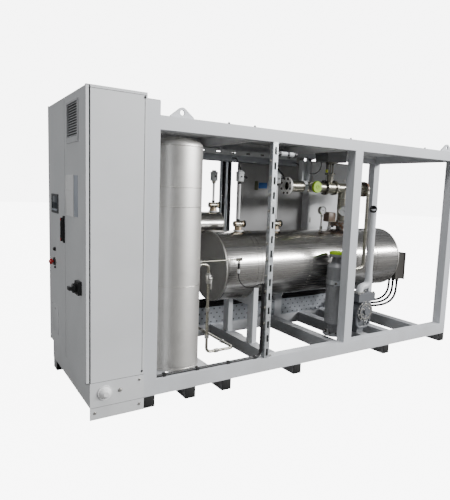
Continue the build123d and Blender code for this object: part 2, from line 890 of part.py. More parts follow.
# Heater vessel: clad shell, flat ends and the supports under it
strainer_x = middle_post + section / 2
strainer_y = inner_front + strainer_gap + strainer_radius
support_middles = [left + section / 2 for left in support_beams]
heater_front = strainer_y + strainer_radius + heater_side_gap
heater_radius = (inner_back - rear_box_depth - heater_front) / 2
heater_y = heater_front + heater_radius
heater_level = heater_bottom + heater_radius
heater_crown = heater_level + heater_radius
heater_left = support_middles[0] - heater_overhang[0]
heater_right = support_middles[1] + heater_overhang[1]
shell_left = heater_left + heater_end_thickness
shell_right = heater_right - heater_end_thickness
with BuildPart() as heater_shell:
    rod((shell_left, heater_y, heater_level), (shell_right, heater_y, heater_level), heater_radius)
    seam_x = heater_left + seam_share * (heater_right - heater_left)
    rod(
        (seam_x - seam_width / 2, heater_y, heater_level),
        (seam_x + seam_width / 2, heater_y, heater_level),
        heater_radius + seam_lap,
    )
    rod(
        (shell_left - overrun, heater_y, heater_level),
        (shell_right + overrun, heater_y, heater_level),
        heater_radius - heater_wall,
        Mode.SUBTRACT,
    )
keep(heater_shell, "heater_shell")

with BuildPart() as heater_ends:
    for inner, outer in ((shell_left, heater_left), (shell_right, heater_right)):
        rod((inner, heater_y, heater_level), (outer, heater_y, heater_level), heater_radius)
        recess_floor = (inner + outer) / 2
        rod(
            (recess_floor, heater_y, heater_level),
            (outer + (outer - inner), heater_y, heater_level),
            heater_radius - heater_end_lip,
            Mode.SUBTRACT,
        )
keep(heater_ends, "heater_ends")

with BuildPart() as terminal_box:
    box_left = heater_right + terminal_neck_length
    box_right = box_left + terminal_box_size[0]
    box_level = heater_level - terminal_box_drop
    box_y = (heater_y - terminal_box_size[1] / 2, heater_y + terminal_box_size[1] / 2)
    box_z = (box_level - terminal_box_size[2] / 2, box_level + terminal_box_size[2] / 2)
    bar((box_left, box_right), box_y, box_z)
    bar(
        (box_right, box_right + terminal_lid_thickness),
        (box_y[0] - terminal_lid_lap, box_y[1] + terminal_lid_lap),
        (box_z[0] - terminal_lid_lap, box_z[1] + terminal_lid_lap),
    )
    neck_start = heater_right - heater_end_thickness / 2
    rod((neck_start, heater_y, box_level), (box_left, heater_y, box_level), terminal_neck_radius)
    box_middle = (box_left + box_right) / 2
    for place in range(len(heater_cable_routes)):
        gland_y = box_y[0] + gland_inset + place * gland_pitch
        rod((box_middle, gland_y, box_z[0]), (box_middle, gland_y, box_z[0] - gland_length), gland_radius)
keep(terminal_box, "terminal_box")

# Rear drum and its ends
drum_y = inner_back - drum_back_gap - drum_radius
drum_reach = heater_radius + drum_radius + drum_clearance
drum_level = heater_level + (drum_reach**2 - (drum_y - heater_y) ** 2) ** 0.5
drum_leg_middles = [left + section / 2 for left in tank_beams]
drum_left = drum_leg_middles[0] - drum_overhang[0] + drum_dish
drum_right = drum_leg_middles[1] + drum_overhang[1] - drum_dish
with BuildPart() as drum_shell:
    rod((drum_left, drum_y, drum_level), (drum_right, drum_y, drum_level), drum_radius)
    rod(
        (drum_left - overrun, drum_y, drum_level),
        (drum_right + overrun, drum_y, drum_level),
        drum_radius - drum_wall,
        Mode.SUBTRACT,
    )
keep(drum_shell, "drum_shell")

with BuildPart() as drum_ends:
    dished_end((drum_left, drum_y, drum_level), (-1, 0, 0), (0, 0, 1), drum_radius, drum_dish, drum_wall)
    dished_end((drum_right, drum_y, drum_level), (1, 0, 0), (0, 0, 1), drum_radius, drum_dish, drum_wall)
keep(drum_ends, "drum_ends")

# Supports of the heater and the drum
with BuildPart() as vessel_supports:
    saddle_half = heater_radius * saddle_wrap_share
    saddle_drop = (heater_radius**2 - saddle_half**2) ** 0.5
    saddle_base = heater_bottom - saddle_thickness
    for middle in support_middles:
        sides = (middle - support_width / 2, middle + support_width / 2)
        saddle_y = (heater_y - saddle_half, heater_y + saddle_half)
        bar(sides, saddle_y, (saddle_base, heater_level - saddle_drop))
        for leg_y in (saddle_y[0], saddle_y[1] - support_leg):
            bar(sides, (leg_y, leg_y + support_leg), (rail_top, saddle_base))
        rod(
            (sides[0] - overrun, heater_y, heater_level),
            (sides[1] + overrun, heater_y, heater_level),
            heater_radius,
            Mode.SUBTRACT,
        )
    cradle_base = drum_level - drum_radius - drum_cradle
    for middle in drum_leg_middles:
        sides = (middle - drum_leg / 2, middle + drum_leg / 2)
        bar(sides, (drum_y - drum_leg / 2, drum_y + drum_leg / 2), (rail_top, cradle_base))
        cradle_y = (drum_y - drum_radius / 2, drum_y + drum_radius / 2)
        bar(sides, cradle_y, (cradle_base, drum_level - drum_radius / 2))
        rod(
            (sides[0] - overrun, drum_y, drum_level),
            (sides[1] + overrun, drum_y, drum_level),
            drum_radius,
            Mode.SUBTRACT,
        )
keep(vessel_supports, "vessel_supports")


def strut_channel(left, near, opening):
    """Slotted channel from bottom rail to top rail, its open side towards the front or the back."""
    x = (left, left + strut_size)
    y = sorted((near, near + opening * strut_size))
    bar(x, y, (rail_top, top_rail_base))
    web = near + opening * strut_wall
    bar(
        (x[0] + strut_wall, x[1] - strut_wall),
        sorted((web, near + opening * (strut_size + overrun))),
        (rail_top - overrun, top_rail_base + overrun),
        Mode.SUBTRACT,
    )
    height = top_rail_base - rail_top
    slots = int(height // strut_slot_pitch)
    middle = (x[0] + x[1]) / 2
    slot_plane = Plane(
        origin=(middle, near - opening * overrun, (rail_top + top_rail_base) / 2),
        x_dir=(1, 0, 0),
        z_dir=(0, opening, 0),
    )
    with BuildSketch(slot_plane) as slot_outline:
        with GridLocations(0, strut_slot_pitch, 1, slots):
            Rectangle(strut_slot_width, strut_slot_length)
        chamfer(slot_outline.vertices(), strut_slot_chamfer)
    extrude(slot_outline.sketch, amount=strut_wall + 2 * overrun, mode=Mode.SUBTRACT)


front_strut = along(front_strut_share, strut_size)
rear_struts = [along(share, strut_size) for share in rear_strut_shares]
with BuildPart() as strut_channels:
    strut_channel(front_strut, front, 1)
    for left in rear_struts:
        strut_channel(left, back, -1)
keep(strut_channels, "strut_channels")

# Cable trays on the back of the frame
tray_left = frame_left + section
tray_right = support_middles[1] + tray_overhang
upper_tray_level = top_rail_base - upper_tray_drop
with BuildPart() as cable_trays:
    for x in ((tray_left, middle_post), (middle_post + section, tray_right)):
        levels = (rail_top, rail_top + tray_height)
        bar(x, (inner_back, inner_back + tray_depth), levels)
        bar(
            (x[0] - overrun, x[1] + overrun),
            (inner_back + tray_wall, inner_back + tray_depth + overrun),
            (levels[0] + tray_wall, levels[1] - tray_wall),
            Mode.SUBTRACT,
        )
    tray_run = (frame_left, middle_post + section)
    tray_y = (inner_back - upper_tray_depth, inner_back)
    bar(tray_run, tray_y, (upper_tray_level, upper_tray_level + upper_tray_height))
    bar(
        (tray_run[0] - overrun, tray_run[1] + overrun),
        (tray_y[0] + tray_wall, tray_y[1] - tray_wall),
        (upper_tray_level + tray_wall, upper_tray_level + upper_tray_height + overrun),
        Mode.SUBTRACT,
    )
    for route in heater_cable_routes:
        x = door_face + route[-1][0]
        z = route[-1][2]
        rod((x, inner_back, z), (x, inner_back - tray_bushing_length, z), tray_bushing_radius)
    for route in signal_lead_routes:
        x = door_face + route[0][0]
        z = route[0][2]
        rod((x, tray_y[0], z), (x, tray_y[0] - lead_bushing_length, z), lead_bushing_radius)
keep(cable_trays, "cable_trays")

# Black conduit along the front bottom rail and up beside the strut
conduit_y = front + conduit_setback
conduit_x = front_strut - conduit_strut_gap
conduit_left = frame_left + section
with BuildPart() as rail_conduit:
    conduit_points = (
        (conduit_left, conduit_y, rail_top + conduit_radius),
        (conduit_x, conduit_y, rail_top + conduit_radius),
        (conduit_x, conduit_y, conduit_top),
    )
    bent_pipe(conduit_points, conduit_bend, conduit_radius)
    clip_y = (conduit_y - clip_width / 2, conduit_y + clip_width / 2)
    for share in clip_shares:
        middle = conduit_left + share * (conduit_x - conduit_left)
        clip_x = (middle - clip_length / 2, middle + clip_length / 2)
        bar(clip_x, clip_y, (rail_top, rail_top + clip_height))
    bar(
        (conduit_x, front_strut),
        (conduit_y - conduit_bushing_radius, conduit_y + conduit_bushing_radius),
        (conduit_bracket_level, conduit_bracket_level + conduit_bracket_height),
    )
    rod(
        (conduit_x, conduit_y, conduit_bushing_level),
        (conduit_x, conduit_y + conduit_bushing_length, conduit_bushing_level),
        conduit_bushing_radius,
    )
keep(rail_conduit, "rail_conduit")

# Oil strainer: turned body, bolted flanges, cap and the strap that holds it to the middle post
strainer_foot = strainer_base - strainer_foot_length
strainer_neck_top = strainer_top + strainer_neck_length
with BuildPart() as strainer_body:
    with BuildSketch(Plane((strainer_x, strainer_y, 0), (1, 0, 0), (0, -1, 0))) as strainer_outline:
        with BuildLine():
            Polyline(
                (0, strainer_foot),
                (strainer_neck_radius, strainer_foot),
                (strainer_neck_radius, strainer_base),
                (strainer_radius, strainer_base + strainer_shoulder),
                (strainer_radius, strainer_top - strainer_shoulder),
                (strainer_neck_radius, strainer_top),
                (strainer_neck_radius, strainer_neck_top),
                (0, strainer_neck_top),
                close=True,
            )
        make_face()
    revolve(strainer_outline.sketch, axis=Axis((strainer_x, strainer_y, 0), (0, 0, 1)))
keep(strainer_body, "strainer_body")

with BuildPart() as strainer_flanges:
    foot_flange = strainer_foot - strainer_flange_thickness
    for level, radius in ((strainer_neck_top, strainer_flange_radius), (foot_flange, strainer_foot_radius)):
        flange_top = level + strainer_flange_thickness
        rod((strainer_x, strainer_y, level), (strainer_x, strainer_y, flange_top), radius)
keep(strainer_flanges, "strainer_flanges")

with BuildPart() as strainer_strap:
    strap_top = strap_level + strap_height
    bar(
        (strainer_x - strap_tab / 2, strainer_x + strap_tab / 2),
        (inner_front, strainer_y),
        (strap_level, strap_top),
    )
    bar(
        (strainer_x - strap_plate_reach, middle_post + section),
        (inner_front, inner_front + strainer_gap),
        (strap_level, strap_top),
    )
    strap_radius = strainer_radius + strap_thickness
    rod((strainer_x, strainer_y, strap_level), (strainer_x, strainer_y, strap_top), strap_radius)
    rod(
        (strainer_x, strainer_y, strap_level - overrun),
        (strainer_x, strainer_y, strap_top + overrun),
        strainer_radius,
        Mode.SUBTRACT,
    )
keep(strainer_strap, "strainer_strap")

# Main oil pipe from its end flange through the control valve to the heater's nozzle
pipe_y = heater_y
pipe_level = heater_crown + pipe_rise
riser_x = support_middles[1] - riser_setback
valve_x = riser_x - valve_setback
branch_x = valve_x - branch_setback
pipe_left = branch_x - pipe_tail
valve_left = valve_x - valve_body_length / 2
valve_right = valve_x + valve_body_length / 2
pipe_right = riser_x + pipe_run_on
nozzle_top = heater_crown + nozzle_height
with BuildPart() as main_pipe:
    rod((pipe_left + flange_thickness, pipe_y, pipe_level), (valve_left, pipe_y, pipe_level), pipe_radius)
    bore_end = (pipe_left + pipe_bore_depth, pipe_y, pipe_level)
    rod((pipe_left, pipe_y, pipe_level), bore_end, pipe_bore_radius, Mode.SUBTRACT)
    rod((valve_right, pipe_y, pipe_level), (pipe_right, pipe_y, pipe_level), pipe_radius)
    riser_foot = nozzle_top + nozzle_thickness + nozzle_gap
    rod((riser_x, pipe_y, pipe_level), (riser_x, pipe_y, riser_foot), pipe_radius)
    branch_end = pipe_y - pipe_radius - branch_length
    rod((branch_x, pipe_y, pipe_level), (branch_x, branch_end, pipe_level), branch_radius)
keep(main_pipe, "main_pipe")

with BuildPart() as pipe_flanges:
    rod((pipe_left, pipe_y, pipe_level), (pipe_left + flange_thickness, pipe_y, pipe_level), flange_radius)
    bore_start = (pipe_left - overrun, pipe_y, pipe_level)
    rod(bore_start, bore_end, pipe_bore_radius, Mode.SUBTRACT)
    rod((pipe_right, pipe_y, pipe_level), (pipe_right + flange_thickness, pipe_y, pipe_level), flange_radius)
    riser_flange = nozzle_top + nozzle_gap
    rod(
        (riser_x, pipe_y, riser_flange),
        (riser_x, pipe_y, riser_flange + nozzle_thickness),
        nozzle_radius,
    )
keep(pipe_flanges, "pipe_flanges")

with BuildPart() as heater_nozzle:
    rod((riser_x, pipe_y, heater_level), (riser_x, pipe_y, nozzle_top - nozzle_thickness), pipe_radius)
    rod((riser_x, pipe_y, nozzle_top - nozzle_thickness), (riser_x, pipe_y, nozzle_top), nozzle_radius)
    rod((riser_x, pipe_y, nozzle_top), (riser_x, pipe_y, nozzle_top + nozzle_gap), pipe_radius)
    rod(
        (heater_left, heater_y, heater_level),
        (heater_right, heater_y, heater_level),
        heater_radius,
        Mode.SUBTRACT,
    )
keep(heater_nozzle, "heater_nozzle")

with BuildPart() as shipping_caps:
    cap_face = branch_end - cap_thickness
    rod((branch_x, branch_end, pipe_level), (branch_x, cap_face, pipe_level), branch_cap_radius)
    cap_base = strainer_neck_top + strainer_flange_thickness
    rod(
        (strainer_x, strainer_y, cap_base),
        (strainer_x, strainer_y, cap_base + cap_thickness),
        strainer_flange_radius * cap_rim_share,
    )
keep(shipping_caps, "shipping_caps")

with BuildPart() as control_valve:
    rod((valve_left, pipe_y, pipe_level), (valve_right, pipe_y, pipe_level), valve_body_radius)
    for left in (valve_left, valve_right - flange_thickness):
        right = left + flange_thickness
        rod((left, pipe_y, pipe_level), (right, pipe_y, pipe_level), valve_flange_radius)
    bonnet_top = pipe_level + valve_flange_radius + valve_bonnet_length
    rod((valve_x, pipe_y, pipe_level), (valve_x, pipe_y, bonnet_top), valve_bonnet_radius)
    yoke_base = bonnet_top + yoke_plate_thickness
    rod((valve_x, pipe_y, bonnet_top), (valve_x, pipe_y, yoke_base), yoke_plate_radius)
    yoke_top = yoke_base + yoke_height
    for side in (-1, 1):
        pillar_x = valve_x + side * yoke_spread
        rod((pillar_x, pipe_y, yoke_base), (pillar_x, pipe_y, yoke_top), yoke_pillar_radius)
    rod((valve_x, pipe_y, yoke_base), (valve_x, pipe_y, yoke_top), yoke_pillar_radius)
    rod((valve_x, pipe_y, yoke_top), (valve_x, pipe_y, yoke_top + yoke_plate_thickness), yoke_plate_radius)
keep(control_valve, "control_valve")

with BuildPart() as valve_actuator:
    actuator_base = yoke_top + yoke_plate_thickness
    bar(
        (valve_x - actuator_size[0] / 2, valve_x + actuator_size[0] / 2),
        (pipe_y - actuator_size[1] / 2, pipe_y + actuator_size[1] / 2),
        (actuator_base, actuator_base + actuator_size[2]),
    )
    lid_half = (actuator_size[0] / 2 + actuator_lid_lap, actuator_size[1] / 2 + actuator_lid_lap)
    bar(
        (valve_x - lid_half[0], valve_x + lid_half[0]),
        (pipe_y - lid_half[1], pipe_y + lid_half[1]),
        (actuator_base + actuator_size[2] - actuator_lid_height, actuator_base + actuator_size[2]),
    )
    gland_x = valve_x - actuator_gland_offset[0]
    gland_y = pipe_y + actuator_gland_offset[1]
    gland_end = actuator_base - actuator_gland_length
    rod((gland_x, gland_y, actuator_base), (gland_x, gland_y, gland_end), lead_bushing_radius)
keep(valve_actuator, "valve_actuator")

with BuildPart() as gauges:
    gauge_x = riser_x - gauge_setback
    gauge_level = heater_crown + gauge_rise
    rod((gauge_x, heater_y, heater_crown), (gauge_x, heater_y, gauge_level), gauge_stem_radius)
    half_depth = gauge_depth / 2
    gauge_y = (heater_y - half_depth, heater_y + half_depth)
    rod((gauge_x, gauge_y[0], gauge_level), (gauge_x, gauge_y[1], gauge_level), gauge_radius)
    riser_centre = Vector(riser_x, pipe_y, gauge_level)
    facing = Vector(0, -1, 0).rotate(Axis.Z, -gauge_turn)
    stem_start = riser_centre + facing * pipe_radius
    stem_end = stem_start + facing * gauge_reach
    rod(stem_start, stem_end, gauge_stem_radius)
    rod(stem_end, stem_end + facing * gauge_depth, riser_gauge_radius)
    sensor_x = riser_x - sensor_setback
    sensor_base = heater_crown + sensor_stem
    rod((sensor_x, heater_y, heater_crown), (sensor_x, heater_y, sensor_base), sensor_stem_radius)
    bar(
        (sensor_x - sensor_head_size[0] / 2, sensor_x + sensor_head_size[0] / 2),
        (heater_y - sensor_head_size[1] / 2, heater_y + sensor_head_size[1] / 2),
        (sensor_base, sensor_base + sensor_head_size[2]),
    )
keep(gauges, "gauges")

# Circulation pump under the heater and its grey suction pipe
pump_x = pump_beam + section / 2
pump_y = inner_front + pump_inset
pump_front = pump_y - pump_length / 2
pump_back = pump_y + pump_length / 2
block_base = pump_level + pump_radius - pump_block_seat
block_top = block_base + pump_block_height
with BuildPart() as pump:
    rod((pump_x, pump_front, pump_level), (pump_x, pump_back, pump_level), pump_radius)
    cover_face = pump_front - pump_cover_depth
    rod((pump_x, pump_front, pump_level), (pump_x, cover_face, pump_level), pump_cover_radius)
    boss_face = cover_face - pump_boss_depth
    rod((pump_x, cover_face, pump_level), (pump_x, boss_face, pump_level), pump_boss_radius)
    rod((pump_x, pump_back, pump_level), (pump_x, pump_back + motor_length, pump_level), motor_radius)
    block_middle = pump_x + pump_block_offset
    bar(
        (block_middle - pump_block_width / 2, block_middle + pump_block_width / 2),
        (pump_front, pump_back),
        (block_base, block_top),
    )
    bar(
        (pump_x - pump_foot_width / 2, pump_x + pump_foot_width / 2),
        (pump_front + pump_foot_setback, pump_back + motor_length),
        (rail_top, pump_level),
    )
    loop_y = pump_front + pump_loop_setback
    loop_points = (
        (pump_x + pump_loop_half, loop_y, pump_level),
        (pump_x + pump_loop_half, loop_y, pump_loop_low),
        (pump_x - pump_loop_half, loop_y, pump_loop_low),
        (pump_x - pump_loop_half, loop_y, pump_level),
    )
    bent_pipe(loop_points, pump_loop_bend, pump_loop_radius)
keep(pump, "pump")

with BuildPart() as suction_pipe:
    suction_x = pump_x + suction_offset
    landing_x = pump_x - suction_landing
    suction_low = block_top + suction_rise
    suction_points = (
        (suction_x, pump_y, suction_top),
        (suction_x, pump_y, suction_low),
        (landing_x, pump_y, suction_low),
        (landing_x, pump_y, block_top),
    )
    bent_pipe(suction_points, suction_bend, suction_radius)
    bore_floor = (suction_x, pump_y, suction_top - suction_bore_depth)
    rod(bore_floor, (suction_x, pump_y, suction_top + overrun), suction_bore_radius, Mode.SUBTRACT)
keep(suction_pipe, "suction_pipe")

# Small-bore stainless pipes and the level probe
with BuildPart() as small_pipes:
    drain_x = [tank_x + offset for offset in drain_offsets]
    drain_points = (
        (tank_x + tank_radius, tank_y, drain_level),
        (drain_x[0], tank_y, drain_level),
        (drain_x[0], tank_y, drain_low),
        (drain_x[1], tank_y, drain_low),
        (drain_x[1], drum_y, drain_low),
        (drain_x[1], drum_y, drum_level - drum_radius),
    )
    bent_pipe(drain_points, small_pipe_bend, small_pipe_radius)
    impulse_x = pump_x + impulse_offset
    impulse_y = strainer_y
    impulse_points = (
        (riser_x, pipe_y - pipe_radius, pipe_level),
        (riser_x, pipe_y - pipe_radius - impulse_stub, pipe_level),
        (impulse_x, impulse_y, pipe_level),
        (impulse_x, impulse_y, impulse_low),
        (strainer_x + strainer_radius, impulse_y, impulse_low),
    )
    bent_pipe(impulse_points, impulse_bend, impulse_radius)
keep(small_pipes, "small_pipes")

with BuildPart() as level_probe:
    probe_y = tank_y - probe_offset
    probe_start = tank_x + (tank_radius**2 - (probe_offset - probe_radius) ** 2) ** 0.5
    probe_end = tank_x + probe_reach
    rod((probe_start, probe_y, probe_level), (probe_end, probe_y, probe_level), probe_radius)
    with BuildSketch(Plane(origin=(probe_end, probe_y, probe_level), z_dir=(1, 0, 0))) as probe_outline:
        RegularPolygon(probe_head_radius, 6)
    extrude(probe_outline.sketch, amount=probe_head_length)
    plug_x = probe_end + probe_head_length / 2
    plug_end = (plug_x, probe_y, probe_level - probe_plug_length)
    rod((plug_x, probe_y, probe_level), plug_end, probe_plug_radius)
keep(level_probe, "level_probe")


def instrument_column(x, y, height, vessel_level, vessel_radius):
    """Valved instrument column that stands on a horizontal vessel."""
    crown = vessel_level + vessel_radius
    foot_top = crown + column_foot_height
    rod((x, y, vessel_level), (x, y, foot_top), column_foot_radius)
    head_base = crown + height
    rod((x, y, foot_top), (x, y, head_base), column_radius)
    valve_middle = foot_top + column_valve_radius
    half = column_valve_length / 2
    rod((x - half, y, valve_middle), (x + half, y, valve_middle), column_valve_radius)
    wheel_back = x + half + column_wheel_stem
    rod((x + half, y, valve_middle), (wheel_back, y, valve_middle), column_wheel_stem_radius)
    wheel_face = wheel_back + column_wheel_thickness
    rod((wheel_back, y, valve_middle), (wheel_face, y, valve_middle), column_wheel_radius)
    rod((x, y, head_base), (x, y, head_base + column_head_length), column_head_radius)
    gland_level = head_base + column_gland_rise
    gland_end = x + column_head_radius + column_gland_length
    rod((x, y, gland_level), (gland_end, y, gland_level), column_gland_radius)
    rod(
        (x - column_foot_radius, y, vessel_level),
        (x + column_foot_radius, y, vessel_level),
        vessel_radius,
        Mode.SUBTRACT,
    )


with BuildPart() as instrument_columns:
    for column_x in (heater_left + column_inset, pipe_left - column_setback):
        instrument_column(column_x, heater_y, column_height, heater_level, heater_radius)
    drum_column_height = upper_tray_level - drum_headroom - column_head_length - drum_level - drum_radius
    drum_column_x = drum_right + drum_dish - drum_column_inset
    instrument_column(drum_column_x, drum_y, drum_column_height, drum_level, drum_radius)
keep(instrument_columns, "instrument_columns")

# Sheet panel and box mounted on the back of the frame
box_x = (rear_struts[2] - rear_box_overhang[0], rear_struts[3] + strut_size + rear_box_overhang[1])
with BuildPart() as rear_panel:
    panel_x = (rear_struts[1] + strut_size + rear_panel_gap, box_x[0] - rear_panel_end_gap)
    bar(panel_x, (inner_back - rear_panel_thickness, inner_back), rear_panel_level)
keep(rear_panel, "rear_panel")

with BuildPart() as rear_box:
    box_back = back - strut_size
    box_front = box_back - rear_box_depth
    bar(box_x, (box_front, box_back), rear_box_level)
    bar(
        (box_x[0] + rear_box_door_margin, box_x[1] - rear_box_door_margin),
        (box_front - rear_box_door_thickness, box_front),
        (rear_box_level[0] + rear_box_door_margin, rear_box_level[1] - rear_box_door_margin),
    )
keep(rear_box, "rear_box")

# Leads, each from its gland to its bushing
with BuildPart() as heater_cable_front:
    cord(heater_cable_front_route, heater_cable_thickness, "heater_cable_front")
keep(heater_cable_front, "heater_cable_front")

with BuildPart() as heater_cable_middle:
    cord(heater_cable_middle_route, heater_cable_thickness, "heater_cable_middle")
keep(heater_cable_middle, "heater_cable_middle")

with BuildPart() as heater_cable_rear:
    cord(heater_cable_rear_route, heater_cable_thickness, "heater_cable_rear")
keep(heater_cable_rear, "heater_cable_rear")

with BuildPart() as probe_lead:
    cord(probe_lead_route, probe_lead_thickness, "probe_lead")
keep(probe_lead, "probe_lead")

with BuildPart() as column_lead_left:
    cord(column_lead_left_route, signal_lead_thickness, "column_lead_left")
keep(column_lead_left, "column_lead_left")

with BuildPart() as column_lead_right:
    cord(column_lead_right_route, signal_lead_thickness, "column_lead_right")
keep(column_lead_right, "column_lead_right")

with BuildPart() as actuator_lead:
    cord(actuator_lead_route, signal_lead_thickness, "actuator_lead")
keep(actuator_lead, "actuator_lead")
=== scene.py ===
"""Looks of the thermal oil heater skid: its finishes, small fittings, leads and the studio around it."""

import json
import math
from itertools import product

import bmesh
import bpy
from mathutils import Matrix, Vector


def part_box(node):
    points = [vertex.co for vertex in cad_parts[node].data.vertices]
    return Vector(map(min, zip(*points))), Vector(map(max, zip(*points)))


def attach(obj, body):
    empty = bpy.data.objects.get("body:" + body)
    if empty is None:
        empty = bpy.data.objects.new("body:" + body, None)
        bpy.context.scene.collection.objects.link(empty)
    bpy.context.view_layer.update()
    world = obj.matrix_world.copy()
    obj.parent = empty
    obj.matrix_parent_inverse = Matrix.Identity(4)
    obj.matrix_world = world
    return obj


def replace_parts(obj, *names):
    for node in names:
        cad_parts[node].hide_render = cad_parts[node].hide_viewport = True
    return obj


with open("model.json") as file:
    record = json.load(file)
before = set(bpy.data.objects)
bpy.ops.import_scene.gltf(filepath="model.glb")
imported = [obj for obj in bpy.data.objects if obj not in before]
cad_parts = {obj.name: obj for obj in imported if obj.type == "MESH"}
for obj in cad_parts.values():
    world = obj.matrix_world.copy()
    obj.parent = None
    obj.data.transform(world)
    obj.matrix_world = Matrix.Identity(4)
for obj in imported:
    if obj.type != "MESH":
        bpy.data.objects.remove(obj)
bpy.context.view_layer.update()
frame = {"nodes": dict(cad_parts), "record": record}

# Photograph's camera: its place, turn and lens, in metres, degrees and millimetres
CAMERA_PLACE = Vector((-2.89656, -3.82836, 1.66447))
CAMERA_YAW = math.radians(33.2227)
CAMERA_PITCH = math.radians(6.9764)
CAMERA_ROLL = math.radians(2.1673)
CAMERA_LENS = 34.167
CAMERA_SHIFT = (-0.0327, -0.0031)

# Paint, metal and plastic colours, linear
FRAME_GREY = (0.56, 0.575, 0.60)
CABINET_GREY = (0.60, 0.61, 0.62)
BLACK = (0.012, 0.012, 0.013)
DUST_BROWN = (0.30, 0.28, 0.25)
ZINC_DARK, ZINC_PALE = (0.40, 0.42, 0.44), (0.60, 0.62, 0.63)
BARE_STEEL, RUST_BROWN = (0.30, 0.28, 0.26), (0.17, 0.075, 0.035)


def socket(group, name, kind, flow, value=None):
    """Adds one named socket to a node group's interface."""
    made = group.interface.new_socket(name=name, in_out=flow, socket_type=kind)
    if value is not None:
        made.default_value = value
    return made


def grain_group():
    """Fine and coarse mottling of a surface: a colour mask and a height."""
    group = bpy.data.node_groups.new("grain", "ShaderNodeTree")
    socket(group, "Scale", "NodeSocketFloat", "INPUT", 40.0)
    socket(group, "Mask", "NodeSocketFloat", "OUTPUT")
    socket(group, "Height", "NodeSocketFloat", "OUTPUT")
    nodes, links = group.nodes, group.links
    enter, leave = nodes.new("NodeGroupInput"), nodes.new("NodeGroupOutput")
    place = nodes.new("ShaderNodeTexCoord")
    fine = nodes.new("ShaderNodeTexNoise")
    fine.inputs["Detail"].default_value = 4.0
    coarse = nodes.new("ShaderNodeTexNoise")
    coarse.inputs["Scale"].default_value = 2.3
    coarse.inputs["Detail"].default_value = 5.0
    links.new(place.outputs["Object"], fine.inputs["Vector"])
    links.new(place.outputs["Object"], coarse.inputs["Vector"])
    links.new(enter.outputs["Scale"], fine.inputs["Scale"])
    links.new(coarse.outputs["Fac"], leave.inputs["Mask"])
    links.new(fine.outputs["Fac"], leave.inputs["Height"])
    return group


def brushed_group():
    """Brush marks drawn out along one axis: a value that runs in fine streaks."""
    group = bpy.data.node_groups.new("brushed", "ShaderNodeTree")
    socket(group, "Stretch", "NodeSocketVector", "INPUT", (2.0, 300.0, 300.0))
    socket(group, "Streaks", "NodeSocketFloat", "OUTPUT")
    nodes, links = group.nodes, group.links
    enter, leave = nodes.new("NodeGroupInput"), nodes.new("NodeGroupOutput")
    place = nodes.new("ShaderNodeTexCoord")
    scale = nodes.new("ShaderNodeVectorMath")
    scale.operation = "MULTIPLY"
    noise = nodes.new("ShaderNodeTexNoise")
    noise.inputs["Scale"].default_value = 1.0
    noise.inputs["Detail"].default_value = 3.0
    links.new(place.outputs["Object"], scale.inputs[0])
    links.new(enter.outputs["Stretch"], scale.inputs[1])
    links.new(scale.outputs["Vector"], noise.inputs["Vector"])
    links.new(noise.outputs["Fac"], leave.inputs["Streaks"])
    return group


def dust_group():
    """Dust that thickens towards the ground: a mask from height and noise."""
    group = bpy.data.node_groups.new("dust", "ShaderNodeTree")
    socket(group, "Height", "NodeSocketFloat", "INPUT", 0.35)
    socket(group, "Mask", "NodeSocketFloat", "OUTPUT")
    nodes, links = group.nodes, group.links
    enter, leave = nodes.new("NodeGroupInput"), nodes.new("NodeGroupOutput")
    place = nodes.new("ShaderNodeTexCoord")
    split = nodes.new("ShaderNodeSeparateXYZ")
    noise = nodes.new("ShaderNodeTexNoise")
    noise.inputs["Scale"].default_value = 6.0
    noise.inputs["Detail"].default_value = 6.0
    fade = nodes.new("ShaderNodeMapRange")
    fade.inputs["To Min"].default_value = 1.0
    fade.inputs["To Max"].default_value = 0.0
    times = nodes.new("ShaderNodeMath")
    times.operation = "MULTIPLY"
    links.new(place.outputs["Object"], split.inputs["Vector"])
    links.new(place.outputs["Object"], noise.inputs["Vector"])
    links.new(split.outputs["Z"], fade.inputs["Value"])
    links.new(enter.outputs["Height"], fade.inputs["From Max"])
    links.new(fade.outputs["Result"], times.inputs[0])
    links.new(noise.outputs["Fac"], times.inputs[1])
    links.new(times.outputs["Value"], leave.inputs["Mask"])
    return group


GRAIN = grain_group()
BRUSHED = brushed_group()
DUST = dust_group()


def start_material(name):
    """New node material: returns it with its nodes, links and shader."""
    material = bpy.data.materials.new(name)
    material.use_nodes = True
    nodes, links = material.node_tree.nodes, material.node_tree.links
    return material, nodes, links, nodes["Principled BSDF"]


def place_group(nodes, group, **values):
    """Puts a shared effect into a material with its own values."""
    node = nodes.new("ShaderNodeGroup")
    node.node_tree = group
    for name, value in values.items():
        node.inputs[name].default_value = value
    return node


def mix_colour(nodes, links, mask, first, second):
    """Mixes two colours, or a linked colour and a plain one, by a mask."""
    mix = nodes.new("ShaderNodeMix")
    mix.data_type = "RGBA"
    links.new(mask, mix.inputs["Factor"])
    for value, entry in ((first, mix.inputs["A"]), (second, mix.inputs["B"])):
        if isinstance(value, tuple):
            entry.default_value = (*value, 1.0)
        else:
            links.new(value, entry)
    return mix.outputs["Result"]


def spread(nodes, links, value, low, high, start=0.3, end=0.7):
    """Maps a mask onto a range of roughness, colour weight or height."""
    node = nodes.new("ShaderNodeMapRange")
    node.inputs["From Min"].default_value = start
    node.inputs["From Max"].default_value = end
    node.inputs["To Min"].default_value = low
    node.inputs["To Max"].default_value = high
    links.new(value, node.inputs["Value"])
    return node.outputs["Result"]


def bump(nodes, links, height, shader, strength, distance):
    """Feeds a height into the shader's normal."""
    node = nodes.new("ShaderNodeBump")
    node.inputs["Strength"].default_value = strength
    node.inputs["Distance"].default_value = distance
    links.new(height, node.inputs["Height"])
    links.new(node.outputs["Normal"], shader.inputs["Normal"])


def shade(colour, factor):
    """The same colour, lighter or darker."""
    return tuple(min(1.0, channel * factor) for channel in colour)


